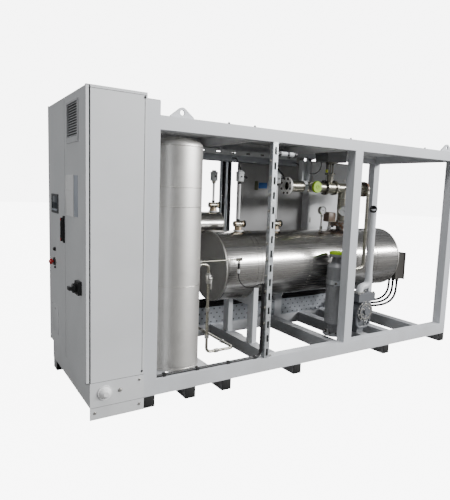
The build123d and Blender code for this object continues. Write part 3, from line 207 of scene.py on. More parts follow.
def paint(name, colour, roughness=0.38, peel=420.0, dust=0.5):
    """Sprayed paint with a fine peel, faint mottling and dust near the ground."""
    material, nodes, links, shader = start_material(name)
    grain = place_group(nodes, GRAIN, Scale=peel)
    grime = place_group(nodes, DUST, Height=0.45)
    mottle = spread(nodes, links, grain.outputs["Mask"], 0.0, 1.0)
    base = mix_colour(nodes, links, mottle, shade(colour, 0.96), shade(colour, 1.03))
    veil = spread(nodes, links, grime.outputs["Mask"], 0.0, dust, 0.2, 0.8)
    links.new(mix_colour(nodes, links, veil, base, DUST_BROWN), shader.inputs["Base Color"])
    rough = spread(nodes, links, grain.outputs["Mask"], roughness - 0.05, roughness + 0.08)
    links.new(rough, shader.inputs["Roughness"])
    bump(nodes, links, grain.outputs["Height"], shader, 0.12, 0.0008)
    return material


def metal(name, colour, roughness, stretch, contrast=0.12, strength=0.08):
    """Bare metal with brush marks along one axis and faint stains."""
    material, nodes, links, shader = start_material(name)
    shader.inputs["Metallic"].default_value = 1.0
    streaks = place_group(nodes, BRUSHED, Stretch=stretch)
    grain = place_group(nodes, GRAIN, Scale=60.0)
    stain = spread(nodes, links, grain.outputs["Mask"], 0.0, 1.0)
    base = mix_colour(nodes, links, stain, shade(colour, 1.0 - contrast), shade(colour, 1.0 + contrast / 2))
    links.new(base, shader.inputs["Base Color"])
    rough = spread(nodes, links, streaks.outputs["Streaks"], roughness - 0.07, roughness + 0.1)
    links.new(rough, shader.inputs["Roughness"])
    bump(nodes, links, streaks.outputs["Streaks"], shader, strength, 0.0006)
    return material


def galvanised(name):
    """Hot-dipped zinc with a cloudy spangle."""
    material, nodes, links, shader = start_material(name)
    shader.inputs["Metallic"].default_value = 0.85
    place = nodes.new("ShaderNodeTexCoord")
    spangle = nodes.new("ShaderNodeTexVoronoi")
    spangle.inputs["Scale"].default_value = 95.0
    links.new(place.outputs["Object"], spangle.inputs["Vector"])
    cell = nodes.new("ShaderNodeSeparateColor")
    links.new(spangle.outputs["Color"], cell.inputs["Color"])
    base = mix_colour(nodes, links, cell.outputs["Red"], ZINC_DARK, ZINC_PALE)
    links.new(base, shader.inputs["Base Color"])
    links.new(spread(nodes, links, cell.outputs["Green"], 0.32, 0.55), shader.inputs["Roughness"])
    grain = place_group(nodes, GRAIN, Scale=180.0)
    bump(nodes, links, grain.outputs["Height"], shader, 0.15, 0.0008)
    return material


def plastic(name, colour, roughness=0.4, texture=700.0):
    """Moulded plastic or rubber with a fine spark-eroded texture."""
    material, nodes, links, shader = start_material(name)
    grain = place_group(nodes, GRAIN, Scale=texture)
    mottle = spread(nodes, links, grain.outputs["Mask"], 0.0, 1.0)
    base = mix_colour(nodes, links, mottle, shade(colour, 0.9), shade(colour, 1.08))
    links.new(base, shader.inputs["Base Color"])
    rough = spread(nodes, links, grain.outputs["Height"], roughness, roughness + 0.12)
    links.new(rough, shader.inputs["Roughness"])
    bump(nodes, links, grain.outputs["Height"], shader, 0.1, 0.0004)
    return material


def rusty(name):
    """Machined flange steel with light rust."""
    material, nodes, links, shader = start_material(name)
    grain = place_group(nodes, GRAIN, Scale=45.0)
    rust = spread(nodes, links, grain.outputs["Height"], 0.0, 1.0, 0.42, 0.6)
    links.new(mix_colour(nodes, links, rust, BARE_STEEL, RUST_BROWN), shader.inputs["Base Color"])
    links.new(spread(nodes, links, rust, 0.85, 0.1, 0.0, 1.0), shader.inputs["Metallic"])
    links.new(spread(nodes, links, rust, 0.38, 0.85, 0.0, 1.0), shader.inputs["Roughness"])
    bump(nodes, links, grain.outputs["Height"], shader, 0.3, 0.0015)
    return material


# Brush marks: how finely they repeat along each axis
ALONG_X = (1.5, 260.0, 260.0)
AROUND_Z = (14.0, 14.0, 420.0)

# Finishes of the record's slots, and those of small pieces
finishes = {
    "frame_grey": paint("frame_paint", FRAME_GREY),
    # Frame grey darkened to 0.62 as painted shade: the cross beams, the feet's sleeves and the support foot
    # plates take it
    "beam_grey": paint("beam_paint_painted_shade", shade(FRAME_GREY, 0.62)),
    "foot_black": plastic("foot_black", (0.007, 0.007, 0.007), 0.75),
    "cabinet_grey": paint("cabinet_powder_coat", CABINET_GREY, 0.45, 650.0, 0.3),
    # Cabinet grey darkened by 3% as painted shade for the doors and the blank cover, which face away from the
    # key light
    "door_grey": paint("door_powder_coat_painted_shade", shade(CABINET_GREY, 0.97), 0.42, 650.0, 0.3),
    "white_plastic": plastic("white_plastic", (0.72, 0.72, 0.72)),
    "galvanised": galvanised("galvanised_zinc"),
    "dark_steel": metal("dark_zinc", (0.16, 0.16, 0.16), 0.4, ALONG_X),
    "vent_plastic": plastic("vent_grey", (0.5, 0.51, 0.52), 0.45),
    "black_plastic": plastic("black_plastic", BLACK, 0.35),
    "panel_dark": plastic("panel_bezel", (0.06, 0.062, 0.065), 0.3),
    "red_plastic": plastic("red_plastic", (0.48, 0.012, 0.014), 0.28),
    "satin_stainless": metal("satin_stainless", (0.74, 0.725, 0.695), 0.48, AROUND_Z),
    "clad_stainless": metal("polished_cladding", (0.46, 0.448, 0.43), 0.21, ALONG_X),
    "box_grey": paint("box_paint", (0.05, 0.046, 0.04), 0.5),
    "strainer_grey": paint("strainer_enamel", (0.20, 0.205, 0.215), 0.35, 260.0, 0.2),
    "green_plastic": plastic("lime_cap", (0.30, 0.50, 0.0), 0.45),
    "pipe_stainless": metal("pipe_stainless", (0.34, 0.325, 0.275), 0.28, ALONG_X),
    "rusty_steel": rusty("rusty_flange"),
    "actuator_dark": paint("actuator_paint", (0.16, 0.163, 0.17), 0.4),
    "pump_dark": paint("pump_enamel", (0.11, 0.115, 0.125), 0.42, 240.0),
    "panel_sheet": paint("panel_sheet", (0.30, 0.30, 0.302), 0.5, 380.0, 0.1),
    "cable_black": plastic("cable_sheath", (0.010, 0.010, 0.011), 0.75, 900.0),
}
extra = {
    "bolt_zinc": metal("bolt_zinc", (0.60, 0.59, 0.56), 0.32, AROUND_Z),
    "bolt_dark": metal("bolt_dark", (0.12, 0.115, 0.11), 0.42, AROUND_Z),
    "weld": metal("weld_bead", (0.66, 0.64, 0.60), 0.36, AROUND_Z, 0.3, 0.3),
    "polished": metal("polished_steel", (0.72, 0.71, 0.69), 0.14, AROUND_Z),
    "bronze": metal("bronze_foot", (0.46, 0.36, 0.25), 0.38, AROUND_Z),
    # Darker stainless for the heater's end discs, as painted shade
    "painted_shade_end": metal("painted_shade_end", (0.38, 0.37, 0.35), 0.5, AROUND_Z),
    "roof_white": paint("roof_paint", (0.78, 0.79, 0.80), 0.5),
    # Darker zinc for the perforated trays, as painted shade
    "tray_zinc_painted_shade": metal("tray_zinc_painted_shade", (0.38, 0.40, 0.43), 0.5, ALONG_X),
    # Pale plastic on the pipe's polished end face: painted highlight in place of its bright reflection
    "painted_highlight_face": plastic("painted_highlight_face", (0.80, 0.79, 0.76), 0.25, 300.0),
    # Black rubber of the seals, also used for the dark strips inside the struts that paint the shade behind
    # their slots
    "seal": plastic("black_rubber_and_painted_shade", (0.012, 0.012, 0.012), 0.7),
    # Dark filter fleece of the vent, also used for the dark sheets behind the trays that paint their shade
    "fleece_and_painted_shade": plastic("filter_fleece_and_painted_shade", (0.11, 0.112, 0.115), 0.85, 260.0),
    "pocket": plastic("pocket_film", (0.36, 0.39, 0.44), 0.3),
    "pale": plastic("pale_housing", (0.52, 0.54, 0.55), 0.42),
    "dial": plastic("dial_card", (0.44, 0.45, 0.46), 0.45),
    "screen": plastic("screen_glass", (0.02, 0.028, 0.038), 0.08),
    "blue": paint("blue_plate", (0.015, 0.10, 0.34), 0.35),
    "olive": paint("olive_plate", (0.10, 0.105, 0.06), 0.45),
    "brown": paint("brown_cover", (0.15, 0.105, 0.075), 0.45),
    "lime_tip": plastic("lime_tip", (0.46, 0.52, 0.05), 0.35),
}

for entry in frame["record"]["subparts"]:
    node = frame["nodes"][entry["node"]]
    node.data.materials.clear()
    node.data.materials.append(finishes[entry["material_slot"]])
# The heater's end discs take the darker stainless that paints their shade
frame["nodes"]["heater_ends"].data.materials[0] = extra["painted_shade_end"]
frame["nodes"]["vessel_supports"].data.materials[0] = finishes["frame_grey"]

# Places along the skid: metres from the closed doors' face, from the frame's front plane and from the floor
DOOR_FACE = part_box("door_front_leaf")[0].x
FRAME_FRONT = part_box("bottom_rails")[0].y
LEFT, RIGHT = Vector((-1, 0, 0)), Vector((1, 0, 0))
TOWARDS, AWAY = Vector((0, -1, 0)), Vector((0, 1, 0))
DOWN, UP = Vector((0, 0, -1)), Vector((0, 0, 1))

# Rounding of edges, from a hairline to a folded corner
HAIR, FINE, CRISP, PLATE, SOFT, ROUND, FOLD = 0.0006, 0.0008, 0.001, 0.0015, 0.002, 0.003, 0.006

# Bolt heads: washer and head, as shares of the size across flats
WASHER_SHARE, WASHER_RADIUS_SHARE, HEAD_SHARE, HEAD_EDGE_SHARE = 0.14, 0.92, 0.62, 0.07
BEAD_RADIUS = 0.0035


def station(x, y, z):
    """Place counted from the closed doors' face, the frame's front plane and the floor."""
    return Vector((DOOR_FACE + x, FRAME_FRONT + y, z))


def facing(axis):
    """Turn that takes the upright to an axis."""
    return Vector(axis).to_track_quat("Z", "Y").to_matrix().to_4x4()


def slab(bm, low, high, edge=0.0):
    """Plate or block between two corners, with its edges rounded."""
    size = high - low
    place = Matrix.Translation((low + high) / 2) @ Matrix.Diagonal((*size, 1.0))
    made = bmesh.ops.create_cube(bm, size=1.0, matrix=place)["verts"]
    if edge:
        edges = list({e for v in made for e in v.link_edges})
        bmesh.ops.bevel(bm, geom=edges, offset=edge, segments=2, affect="EDGES", profile=0.5, material=-1)


def barrel(bm, start, end, radius, sides=24, edge=0.0, far_radius=None):
    """Round, hexagonal or tapered bar from one place to another, with its rims rounded."""
    run = end - start
    place = Matrix.Translation((start + end) / 2) @ facing(run)
    tip = radius if far_radius is None else far_radius
    made = bmesh.ops.create_cone(
        bm, cap_ends=True, segments=sides, radius1=radius, radius2=tip, depth=run.length, matrix=place
    )["verts"]
    if edge:
        edges = {e for v in made for e in v.link_edges}
        rims = [e for e in edges if any(len(f.verts) == sides for f in e.link_faces)]
        bmesh.ops.bevel(bm, geom=rims, offset=edge, segments=2, affect="EDGES", profile=0.5, material=-1)


def block(bm, x, y, z, edge=0.0):
    """Plate or block between two stations along each axis."""
    slab(bm, station(x[0], y[0], z[0]), station(x[1], y[1], z[1]), edge)


def square(bm, x, y, half, levels, edge):
    """Square plate or block about an upright axis."""
    block(bm, (x - half, x + half), (y - half, y + half), levels, edge)


def pin(bm, seat, axis, reach, radius, sides=24, edge=0.0, far_radius=None):
    """Bar, nut or screw that stands on a seat and reaches along an axis."""
    barrel(bm, seat, seat + axis * reach, radius, sides, edge, far_radius)


def span(face, inward, depths):
    """Depths counted from a face into the object, as a pair from low to high."""
    return sorted(face + inward * depth for depth in depths)


def meshes(count):
    """New empty meshes, one for each piece that a function makes."""
    return [bmesh.new() for _ in range(count)]


def turned(bm, centre, axis, profile, sides=40):
    """Turned ring: a closed profile of radius and height, spun about an axis."""
    place = Matrix.Translation(centre) @ facing(axis)
    corners = [bm.verts.new(place @ Vector((radius, 0.0, height))) for radius, height in profile]
    edges = [bm.edges.new(pair) for pair in zip(corners, corners[1:] + corners[:1])]
    bmesh.ops.spin(
        bm, geom=corners + edges, cent=centre, axis=axis, angle=math.tau, steps=sides, use_merge=True
    )


def band(bm, centre, axis, inner, outer, width, sides=40):
    """Flat ring or hoop of a given width, centred on a place."""
    half = width / 2
    turned(bm, centre, axis, ((inner, -half), (outer, -half), (outer, half), (inner, half)), sides)


def hoop(bm, centre, axis, radius, thickness, sides=48):
    """Round hoop, such as a weld bead, a rim or a handwheel."""
    turns = [math.tau * step / 8 for step in range(8)]
    profile = [(radius + thickness * math.cos(a), thickness * math.sin(a)) for a in turns]
    turned(bm, centre, axis, profile, sides)


def bolt(bm, seat, axis, across):
    """Hexagon bolt head on its washer."""
    washer = seat + axis * across * WASHER_SHARE
    barrel(bm, seat, washer, across * WASHER_RADIUS_SHARE, 16)
    top = washer + axis * across * HEAD_SHARE
    barrel(bm, washer, top, across / math.sqrt(3.0), 6, across * HEAD_EDGE_SHARE)


def around(centre, axis, radius, count, start=0.0):
    """Evenly spaced places on a circle about an axis."""
    place = Matrix.Translation(centre) @ facing(axis)
    for step in range(count):
        angle = start + math.tau * step / count
        yield place @ Vector((radius * math.cos(angle), radius * math.sin(angle), 0.0))


def bolt_circle(bm, centre, axis, radius, count, across):
    """Ring of bolts on a flange."""
    for place in around(centre, axis, radius, count, math.pi / count):
        bolt(bm, place, axis, across)


def bead(bm, start, end):
    """Straight weld bead."""
    barrel(bm, start, end, BEAD_RADIUS, 8)


def piece(bm, name, slot, finish=None, body="skid", round_angle=40.0):
    """Makes a finished mesh a piece of the object, on its body and with its finish."""
    bmesh.ops.remove_doubles(bm, verts=bm.verts, dist=1e-6)
    bmesh.ops.recalc_face_normals(bm, faces=bm.faces)
    mesh = bpy.data.meshes.new(name)
    bm.to_mesh(mesh)
    bm.free()
    mesh.shade_smooth()
    mesh.set_sharp_from_angle(angle=math.radians(round_angle))
    made = bpy.data.objects.new(name, mesh)
    bpy.context.scene.collection.objects.link(made)
    mesh.materials.append(extra[finish] if finish else finishes[slot])
    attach(made, body)
    return made


# Leads: routes in metres, with their diameters and real lengths
HEATER_CABLE = 0.027
SIGNAL_LEAD = 0.009
PROBE_LEAD = 0.008
LEADS = {
    "heater_cable_front": (HEATER_CABLE, 1.140, (
        (3.720, 0.390, 0.670), (3.720, 0.390, 0.575), (3.700, 0.396, 0.482), (3.632, 0.412, 0.418),
        (3.536, 0.450, 0.384), (3.436, 0.530, 0.370), (3.367, 0.650, 0.360), (3.335, 0.790, 0.345),
        (3.325, 0.930, 0.325), (3.325, 1.040, 0.300), (3.325, 1.128, 0.300),
    )),
    "heater_cable_middle": (HEATER_CABLE, 1.054, (
        (3.720, 0.445, 0.670), (3.720, 0.445, 0.585), (3.700, 0.450, 0.502), (3.640, 0.462, 0.440),
        (3.555, 0.492, 0.408), (3.470, 0.560, 0.394), (3.410, 0.665, 0.386), (3.378, 0.795, 0.366),
        (3.366, 0.930, 0.338), (3.365, 1.040, 0.300), (3.365, 1.128, 0.300),
    )),
    "heater_cable_rear": (HEATER_CABLE, 0.972, (
        (3.720, 0.500, 0.670), (3.720, 0.500, 0.595), (3.700, 0.503, 0.520), (3.650, 0.512, 0.464),
        (3.580, 0.534, 0.432), (3.508, 0.588, 0.420), (3.450, 0.680, 0.412), (3.418, 0.800, 0.390),
        (3.406, 0.930, 0.352), (3.405, 1.040, 0.300), (3.405, 1.128, 0.300),
    )),
    "probe_lead": (PROBE_LEAD, 0.315, (
        (1.380, 0.225, 0.940), (1.380, 0.225, 0.908), (1.388, 0.219, 0.874), (1.405, 0.206, 0.842),
        (1.431, 0.189, 0.820), (1.463, 0.168, 0.812), (1.492, 0.147, 0.822), (1.511, 0.121, 0.841),
        (1.518, 0.092, 0.858), (1.518, 0.066, 0.858),
    )),
    "column_lead_left": (SIGNAL_LEAD, 0.469, (
        (1.760, 0.976, 1.990), (1.760, 0.944, 1.990), (1.759, 0.904, 1.964), (1.755, 0.856, 1.900),
        (1.751, 0.806, 1.842), (1.747, 0.756, 1.800), (1.742, 0.710, 1.785), (1.733, 0.676, 1.787),
        (1.715, 0.652, 1.794), (1.690, 0.640, 1.800), (1.662, 0.640, 1.800),
    )),
    "column_lead_right": (SIGNAL_LEAD, 0.444, (
        (2.216, 0.976, 1.990), (2.216, 0.944, 1.990), (2.216, 0.905, 1.973), (2.215, 0.860, 1.935),
        (2.213, 0.812, 1.897), (2.209, 0.766, 1.868), (2.203, 0.728, 1.849), (2.194, 0.696, 1.835),
        (2.180, 0.668, 1.820), (2.160, 0.648, 1.807), (2.136, 0.640, 1.800), (2.110, 0.640, 1.800),
    )),
    "actuator_lead": (SIGNAL_LEAD, 0.436, (
        (2.560, 0.976, 1.990), (2.560, 0.946, 1.990), (2.566, 0.908, 1.968), (2.580, 0.868, 1.926),
        (2.604, 0.824, 1.888), (2.632, 0.780, 1.870), (2.660, 0.742, 1.874), (2.682, 0.714, 1.894),
        (2.695, 0.697, 1.926), (2.700, 0.690, 1.958), (2.700, 0.690, 1.986),
    )),
}


def leads():
    """Cables and leads, each hanging from its gland to its bushing."""
    for name, (diameter, length, route) in LEADS.items():
        curve = bpy.data.curves.new(name + "_sheath", "CURVE")
        curve.dimensions = "3D"
        curve.bevel_depth = diameter / 2
        curve.bevel_resolution = 4
        curve.resolution_u = 8
        curve.use_fill_caps = True
        spline = curve.splines.new("NURBS")
        spline.points.add(len(route) - 1)
        for point, place in zip(spline.points, route):
            point.co = (*station(*place), 1.0)
        spline.order_u = 3
        spline.use_endpoint_u = True
        lead = bpy.data.objects.new(name + "_sheath", curve)
        bpy.context.scene.collection.objects.link(lead)
        curve.materials.append(finishes["cable_black"])
        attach(lead, "skid")
        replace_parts(lead, name)


# Sizes of the frame, middle planes of the heater vessel and the rear drum, places of the drum's stands
POST_LEFTS = (0.425, 2.5, 4.05)
SECTION, FRAME_WIDTH = 0.1, 1.24
RAIL_TOP, TOP_RAIL_BASE, TOP_RAIL_TOP, STUB_TOP = 0.21, 2.075, 2.175, 2.275
MIDDLE_Y, DRUM_Y = 0.64, 1.0
DRUM_STANDS = (0.5972, 0.9771)

# Feet
FOOT_PLACES = (0.425, 0.774, 1.1102, 1.8754, 3.0949, 4.06)
FOOT_WIDTH, FOOT_LENGTH, FOOT_CAP = 0.09, 0.25, 0.006
PLINTH_FOOT = (0.025, 1.067, FOOT_LENGTH / 2)
FOOT_PLUG_INSET, FOOT_PLUG_EDGE = 0.001, 0.0025


def feet():
    """Box-section feet in the darkened beam grey that paints their shade, with black plugs in their ends."""
    sleeves, plugs = meshes(2)
    places = [(x, y, FOOT_LENGTH) for x in FOOT_PLACES for y in (0.0, FRAME_WIDTH - FOOT_LENGTH)]
    inner = (FOOT_PLUG_INSET, FOOT_WIDTH - FOOT_PLUG_INSET)
    for x, y, length in places + [PLINTH_FOOT]:
        ends = (y + FOOT_CAP, y + length - FOOT_CAP)
        block(sleeves, (x, x + FOOT_WIDTH), ends, (0.0, FOOT_WIDTH), FOLD)
        for end in (y, ends[1]):
            block(plugs, (x + inner[0], x + inner[1]), (end, end + FOOT_CAP), inner, FOOT_PLUG_EDGE)
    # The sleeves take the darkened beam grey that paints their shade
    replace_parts(piece(sleeves, "foot_sleeves", "beam_grey"), "feet")
    piece(plugs, "foot_plugs", "foot_black")


# Welds, caps and studs of the frame
BEAD_INSET = 0.004
LUG_PLACES, LUG_HALF_LENGTH, LUG_HALF_WIDTH = (0.7151, 3.9599), 0.095, 0.010
CAP_INSET, CAP_HEIGHT = 0.002, 0.004
STUD_PLACES = (1.124, 1.372, 2.471, 3.582)
STUD_HEIGHT, STUD_RADIUS, STUD_NUT = 0.02, 0.006, 0.018


def frame_trim():
    """Weld beads, post caps and studs of the frame."""
    beads, caps, studs = meshes(3)
    first, last = POST_LEFTS[0], POST_LEFTS[-1]
    end = first + SECTION
    for y in (0.0, FRAME_WIDTH - SECTION):
        sides = (y + BEAD_INSET, y + SECTION - BEAD_INSET)
        for left in POST_LEFTS:
            for x in (left,) if left == last else (left, left + SECTION):
                for z in (RAIL_TOP,) if left == first else (RAIL_TOP, TOP_RAIL_BASE):
                    bead(beads, *(station(x, side, z) for side in sides))
        for side in sides:
            bead(beads, station(end, side, TOP_RAIL_BASE), station(end, side, TOP_RAIL_TOP))
        bead(beads, *(station(end, side, TOP_RAIL_TOP) for side in sides))
        for lug, side in product(LUG_PLACES, (-LUG_HALF_WIDTH, LUG_HALF_WIDTH)):
            middle = station(lug, y + SECTION / 2 + side, TOP_RAIL_TOP)
            bead(beads, middle + LEFT * LUG_HALF_LENGTH, middle + RIGHT * LUG_HALF_LENGTH)
        block(
            caps, (first + CAP_INSET, end - CAP_INSET), (y + CAP_INSET, y + SECTION - CAP_INSET),
            (STUB_TOP, STUB_TOP + CAP_HEIGHT), PLATE,
        )
    for x in STUD_PLACES:
        base = station(x, SECTION / 2, TOP_RAIL_TOP)
        pin(studs, base, UP, STUD_HEIGHT, STUD_RADIUS, 16, CRISP)
        bolt(studs, base, UP, STUD_NUT)
    piece(beads, "frame_welds", "frame_grey")
    piece(caps, "post_caps", "black_plastic")
    piece(studs, "rail_studs", "dark_steel", "bolt_dark")


# Cabinet: seal behind the doors, seams between its panels, plugs and bolts
CABINET_BACK, CABINET_BASE, CABINET_TOP = 1.2, 0.275, 2.315
SEAL_STRIP, SEAL_WIDTH, SEAL_MARGIN, SEAL_EDGE = (0.004, 0.016), 0.012, 0.015, 0.0012
SEAL_DEPTH = (0.025, 0.0298)
GROOVE, GROOVE_FILL, GROOVE_LEVELS = (0.4053, 0.4087), (0.0012, 0.0029), (0.288, 2.294)
SEAM_RUN, SEAM_DEPTH, SEAM_HALF_WIDTH = (0.026, 0.4245), 0.0005, 0.0012
SEAM_LEVELS, APRON_SEAM = (CABINET_BASE, 2.295), (0.0892, 0.0912)
PLUG_X, PLUG_LEVELS, PLUG_REACH, PLUG_RADIUS = 0.407, (0.302, 2.28), 0.003, 0.0085
PLINTH_BOLTS = ((0.243, 0.189, 0.017), (0.06, 0.05, 0.012), (0.39, 0.05, 0.012), (0.39, 0.24, 0.012))
COLLAR_PLACE, COLLAR_INNER, COLLAR_OUTER, COLLAR_WIDTH = (0.13, -0.0045, 0.19), 0.044, 0.052, 0.009


def cabinet_trim():
    """Door seal, seam lines, plugs and bolts of the cabinet and its plinth."""
    seal, bolts, collar = meshes(3)
    near, far = span(0.0, 1, SEAL_STRIP), span(CABINET_BACK, -1, SEAL_STRIP)
    between = (near[1], far[0])
    low, high = CABINET_BASE + SEAL_MARGIN, CABINET_TOP - SEAL_MARGIN
    for y, z in (
        (near, (low, high)), (far, (low, high)),
        (between, (low, low + SEAL_WIDTH)), (between, (high - SEAL_WIDTH, high)),
    ):
        block(seal, SEAL_DEPTH, y, z, SEAL_EDGE)
    for y, inward in ((0.0, 1), (CABINET_BACK, -1)):
        block(seal, GROOVE, span(y, inward, GROOVE_FILL), GROOVE_LEVELS)
        for z in SEAM_LEVELS:
            seam = span(y, inward, (-SEAM_DEPTH, SEAM_DEPTH))
            block(seal, SEAM_RUN, seam, (z - SEAM_HALF_WIDTH, z + SEAM_HALF_WIDTH))
    block(seal, SEAM_RUN, (-SEAM_DEPTH, SEAM_DEPTH), APRON_SEAM)
    for z in PLUG_LEVELS:
        pin(seal, station(PLUG_X, SEAM_DEPTH, z), TOWARDS, PLUG_REACH, PLUG_RADIUS, 20, CRISP)
    piece(seal, "cabinet_seals", "black_plastic", "seal")
    for x, z, across in PLINTH_BOLTS:
        bolt(bolts, station(x, 0.0, z), TOWARDS, across)
    piece(bolts, "plinth_bolts", "dark_steel", "bolt_zinc")
    band(collar, station(*COLLAR_PLACE), TOWARDS, COLLAR_INNER, COLLAR_OUTER, COLLAR_WIDTH)
    piece(collar, "cable_entry_collar", "white_plastic")


# Front door leaf: vent filter, screws, document sleeve
FILTER_DEPTH, FILTER_RIM, FILTER_SILL = (0.0145, 0.019), 0.0142, 0.0402
SCREW_HEIGHT, SCREW_RADIUS = 0.0015, 0.004
VENT_SCREW_INSET, VENT_SCREW_SILL, VENT_SCREW_RADIUS = 0.007, 0.02, 0.0038
SWITCH_DEPTH, SWITCH_SCREW_INSET = 0.028, 0.009
SLEEVE_RIM, SLEEVE_RELIEF, SLEEVE_BAR = 0.009, 0.0025, 0.19
FLAP_WIDTH, FLAP_GAP, FLAP_INSET = 0.098, 0.002, 0.004


def front_door_trim():
    """Vent filter, screws and document sleeve of the front leaf."""
    mat, screws, rim, flap = meshes(4)
    low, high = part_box("vent_grille")
    slab(
        mat, low + Vector((FILTER_DEPTH[0], FILTER_RIM, FILTER_SILL)),
        Vector((low.x + FILTER_DEPTH[1], high.y - FILTER_RIM, high.z - FILTER_RIM)),
    )
    piece(mat, "vent_filter", "black_plastic", "fleece_and_painted_shade", "front_door")
    inset = VENT_SCREW_INSET
    for y, z in product((low.y + inset, high.y - inset), (low.z + VENT_SCREW_SILL, high.z - inset)):
        pin(screws, Vector((low.x, y, z)), LEFT, SCREW_HEIGHT, VENT_SCREW_RADIUS, 14, HAIR)
    low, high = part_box("switch_base")
    inset = SWITCH_SCREW_INSET
    for y, z in product((low.y + inset, high.y - inset), (low.z + inset, high.z - inset)):
        pin(screws, Vector((DOOR_FACE - SWITCH_DEPTH, y, z)), LEFT, SCREW_HEIGHT, SCREW_RADIUS, 14, HAIR)
    piece(screws, "front_door_screws", "dark_steel", "bolt_zinc", "front_door")
    low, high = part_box("document_sleeve")
    inner = (low.y + SLEEVE_RIM, high.y - SLEEVE_RIM)
    bar = low.z + SLEEVE_BAR
    for y0, y1, z0, z1 in (
        (low.y, inner[0], low.z, high.z), (inner[1], high.y, low.z, high.z),
        (*inner, low.z, low.z + SLEEVE_RIM), (*inner, bar, bar + SLEEVE_RIM),
    ):
        slab(rim, Vector((low.x - SLEEVE_RELIEF, y0, z0)), Vector((low.x, y1, z1)), FINE)
    piece(rim, "sleeve_edges", "white_plastic", None, "front_door")
    slab(
        flap, Vector((DOOR_FACE - SLEEVE_RELIEF, low.y - FLAP_WIDTH, low.z + FLAP_INSET)),
        Vector((DOOR_FACE, low.y - FLAP_GAP, high.z - FLAP_INSET)), FINE,
    )
    piece(flap, "sleeve_flap", "white_plastic", "pocket", "front_door")


# Rear door leaf: blank cover, lock, emergency stop's collar, operator panel
COVER_DEPTH, COVER_WIDTH, COVER_LEVELS, COVER_SCREW_INSET = 0.003, (0.85, 1.08), (0.39, 0.64), 0.012
COVER_KNOB, COVER_KNOB_REACH, COVER_KNOB_RADIUS = (0.965, 0.60), 0.004, 0.008
LOCK_FACE, LOCK_REACH, LOCK_RADIUS, LOCK_EDGE = (-0.019, 0.947, 1.117), 0.0011, 0.0085, 0.0003
STOP_COLLAR, STOP_INNER, STOP_OUTER, STOP_WIDTH = (-0.003, 0.952, 1.011), 0.0322, 0.037, 0.006
KEY_SLOT = ((-0.0207, -0.0199), (0.9462, 0.9478), (1.1115, 1.1225))
STOP_BLOCK = ((-0.010, 0.0), (0.938, 0.966), (0.952, 0.968))
SCREEN_DEPTH, SCREEN_MARGIN, SCREEN_SILL, SCREEN_EDGE = (0.0005, 0.0022), 0.018, 0.040, 0.0005
KEY_COUNT, KEY_START, KEY_PITCH, KEY_WIDTH = 6, 0.022, 0.032, 0.024
KEY_RELIEF, KEY_LEVELS = 0.0008, (0.019, 0.034)


def rear_door_trim():
    """Blank cover, fittings, screen and keys of the rear leaf."""
    cover, marks, slot, screen, keys = meshes(5)
    block(cover, (-COVER_DEPTH, 0.0), COVER_WIDTH, COVER_LEVELS, CRISP)
    piece(cover, "blank_cover", "door_grey", None, "rear_door")
    inset = (COVER_SCREW_INSET, -COVER_SCREW_INSET)
    for (y, dy), (z, dz) in product(zip(COVER_WIDTH, inset), zip(COVER_LEVELS, inset)):
        pin(marks, station(-COVER_DEPTH, y + dy, z + dz), LEFT, SCREW_HEIGHT, SCREW_RADIUS, 14, HAIR)
    pin(marks, station(-COVER_DEPTH, *COVER_KNOB), LEFT, COVER_KNOB_REACH, COVER_KNOB_RADIUS, 20, CRISP)
    pin(marks, station(*LOCK_FACE), LEFT, LOCK_REACH, LOCK_RADIUS, 24, LOCK_EDGE)
    band(marks, station(*STOP_COLLAR), LEFT, STOP_INNER, STOP_OUTER, STOP_WIDTH)
    piece(marks, "rear_door_fittings", "dark_steel", "bolt_zinc", "rear_door")
    block(slot, *KEY_SLOT)
    block(slot, *STOP_BLOCK, SOFT)
    piece(slot, "lock_slot", "black_plastic", "seal", "rear_door")
    low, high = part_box("operator_panel")
    slab(
        screen, low + Vector((SCREEN_DEPTH[0], SCREEN_MARGIN, SCREEN_SILL)),
        Vector((low.x + SCREEN_DEPTH[1], high.y - SCREEN_MARGIN, high.z - SCREEN_MARGIN)), SCREEN_EDGE,
    )
    piece(screen, "panel_screen", "panel_dark", "screen", "rear_door")
    for step in range(KEY_COUNT):
        y = low.y + KEY_START + step * KEY_PITCH
        slab(
            keys, Vector((low.x - KEY_RELIEF, y, low.z + KEY_LEVELS[0])),
            Vector((low.x + SCREEN_DEPTH[1], y + KEY_WIDTH, low.z + KEY_LEVELS[1])), FINE,
        )
    piece(keys, "panel_keys", "panel_dark", "pocket", "rear_door")


# Swing handle and main switch
MARK_INSET, MARK_REACH, MARK_RADIUS = 0.015, 0.0025, 0.0105
RIDGE_REACH, RIDGE_HALF_WIDTH, RIDGE_INSET = 0.003, 0.006, 0.035
KNOB_PLACE, KNOB_RADIUS = (-0.043, 0.158, 0.937), 0.032
KNOB_RIBS, RIB_HALF_LENGTH, RIB_RADIUS = 24, 0.009, 0.0022
POINTER = (
    ((-0.0538, -0.0528), (0.156, 0.160), (0.951, 0.967)),
    ((-0.078, -0.058), (0.154, 0.162), (0.949, 0.9496)),
)


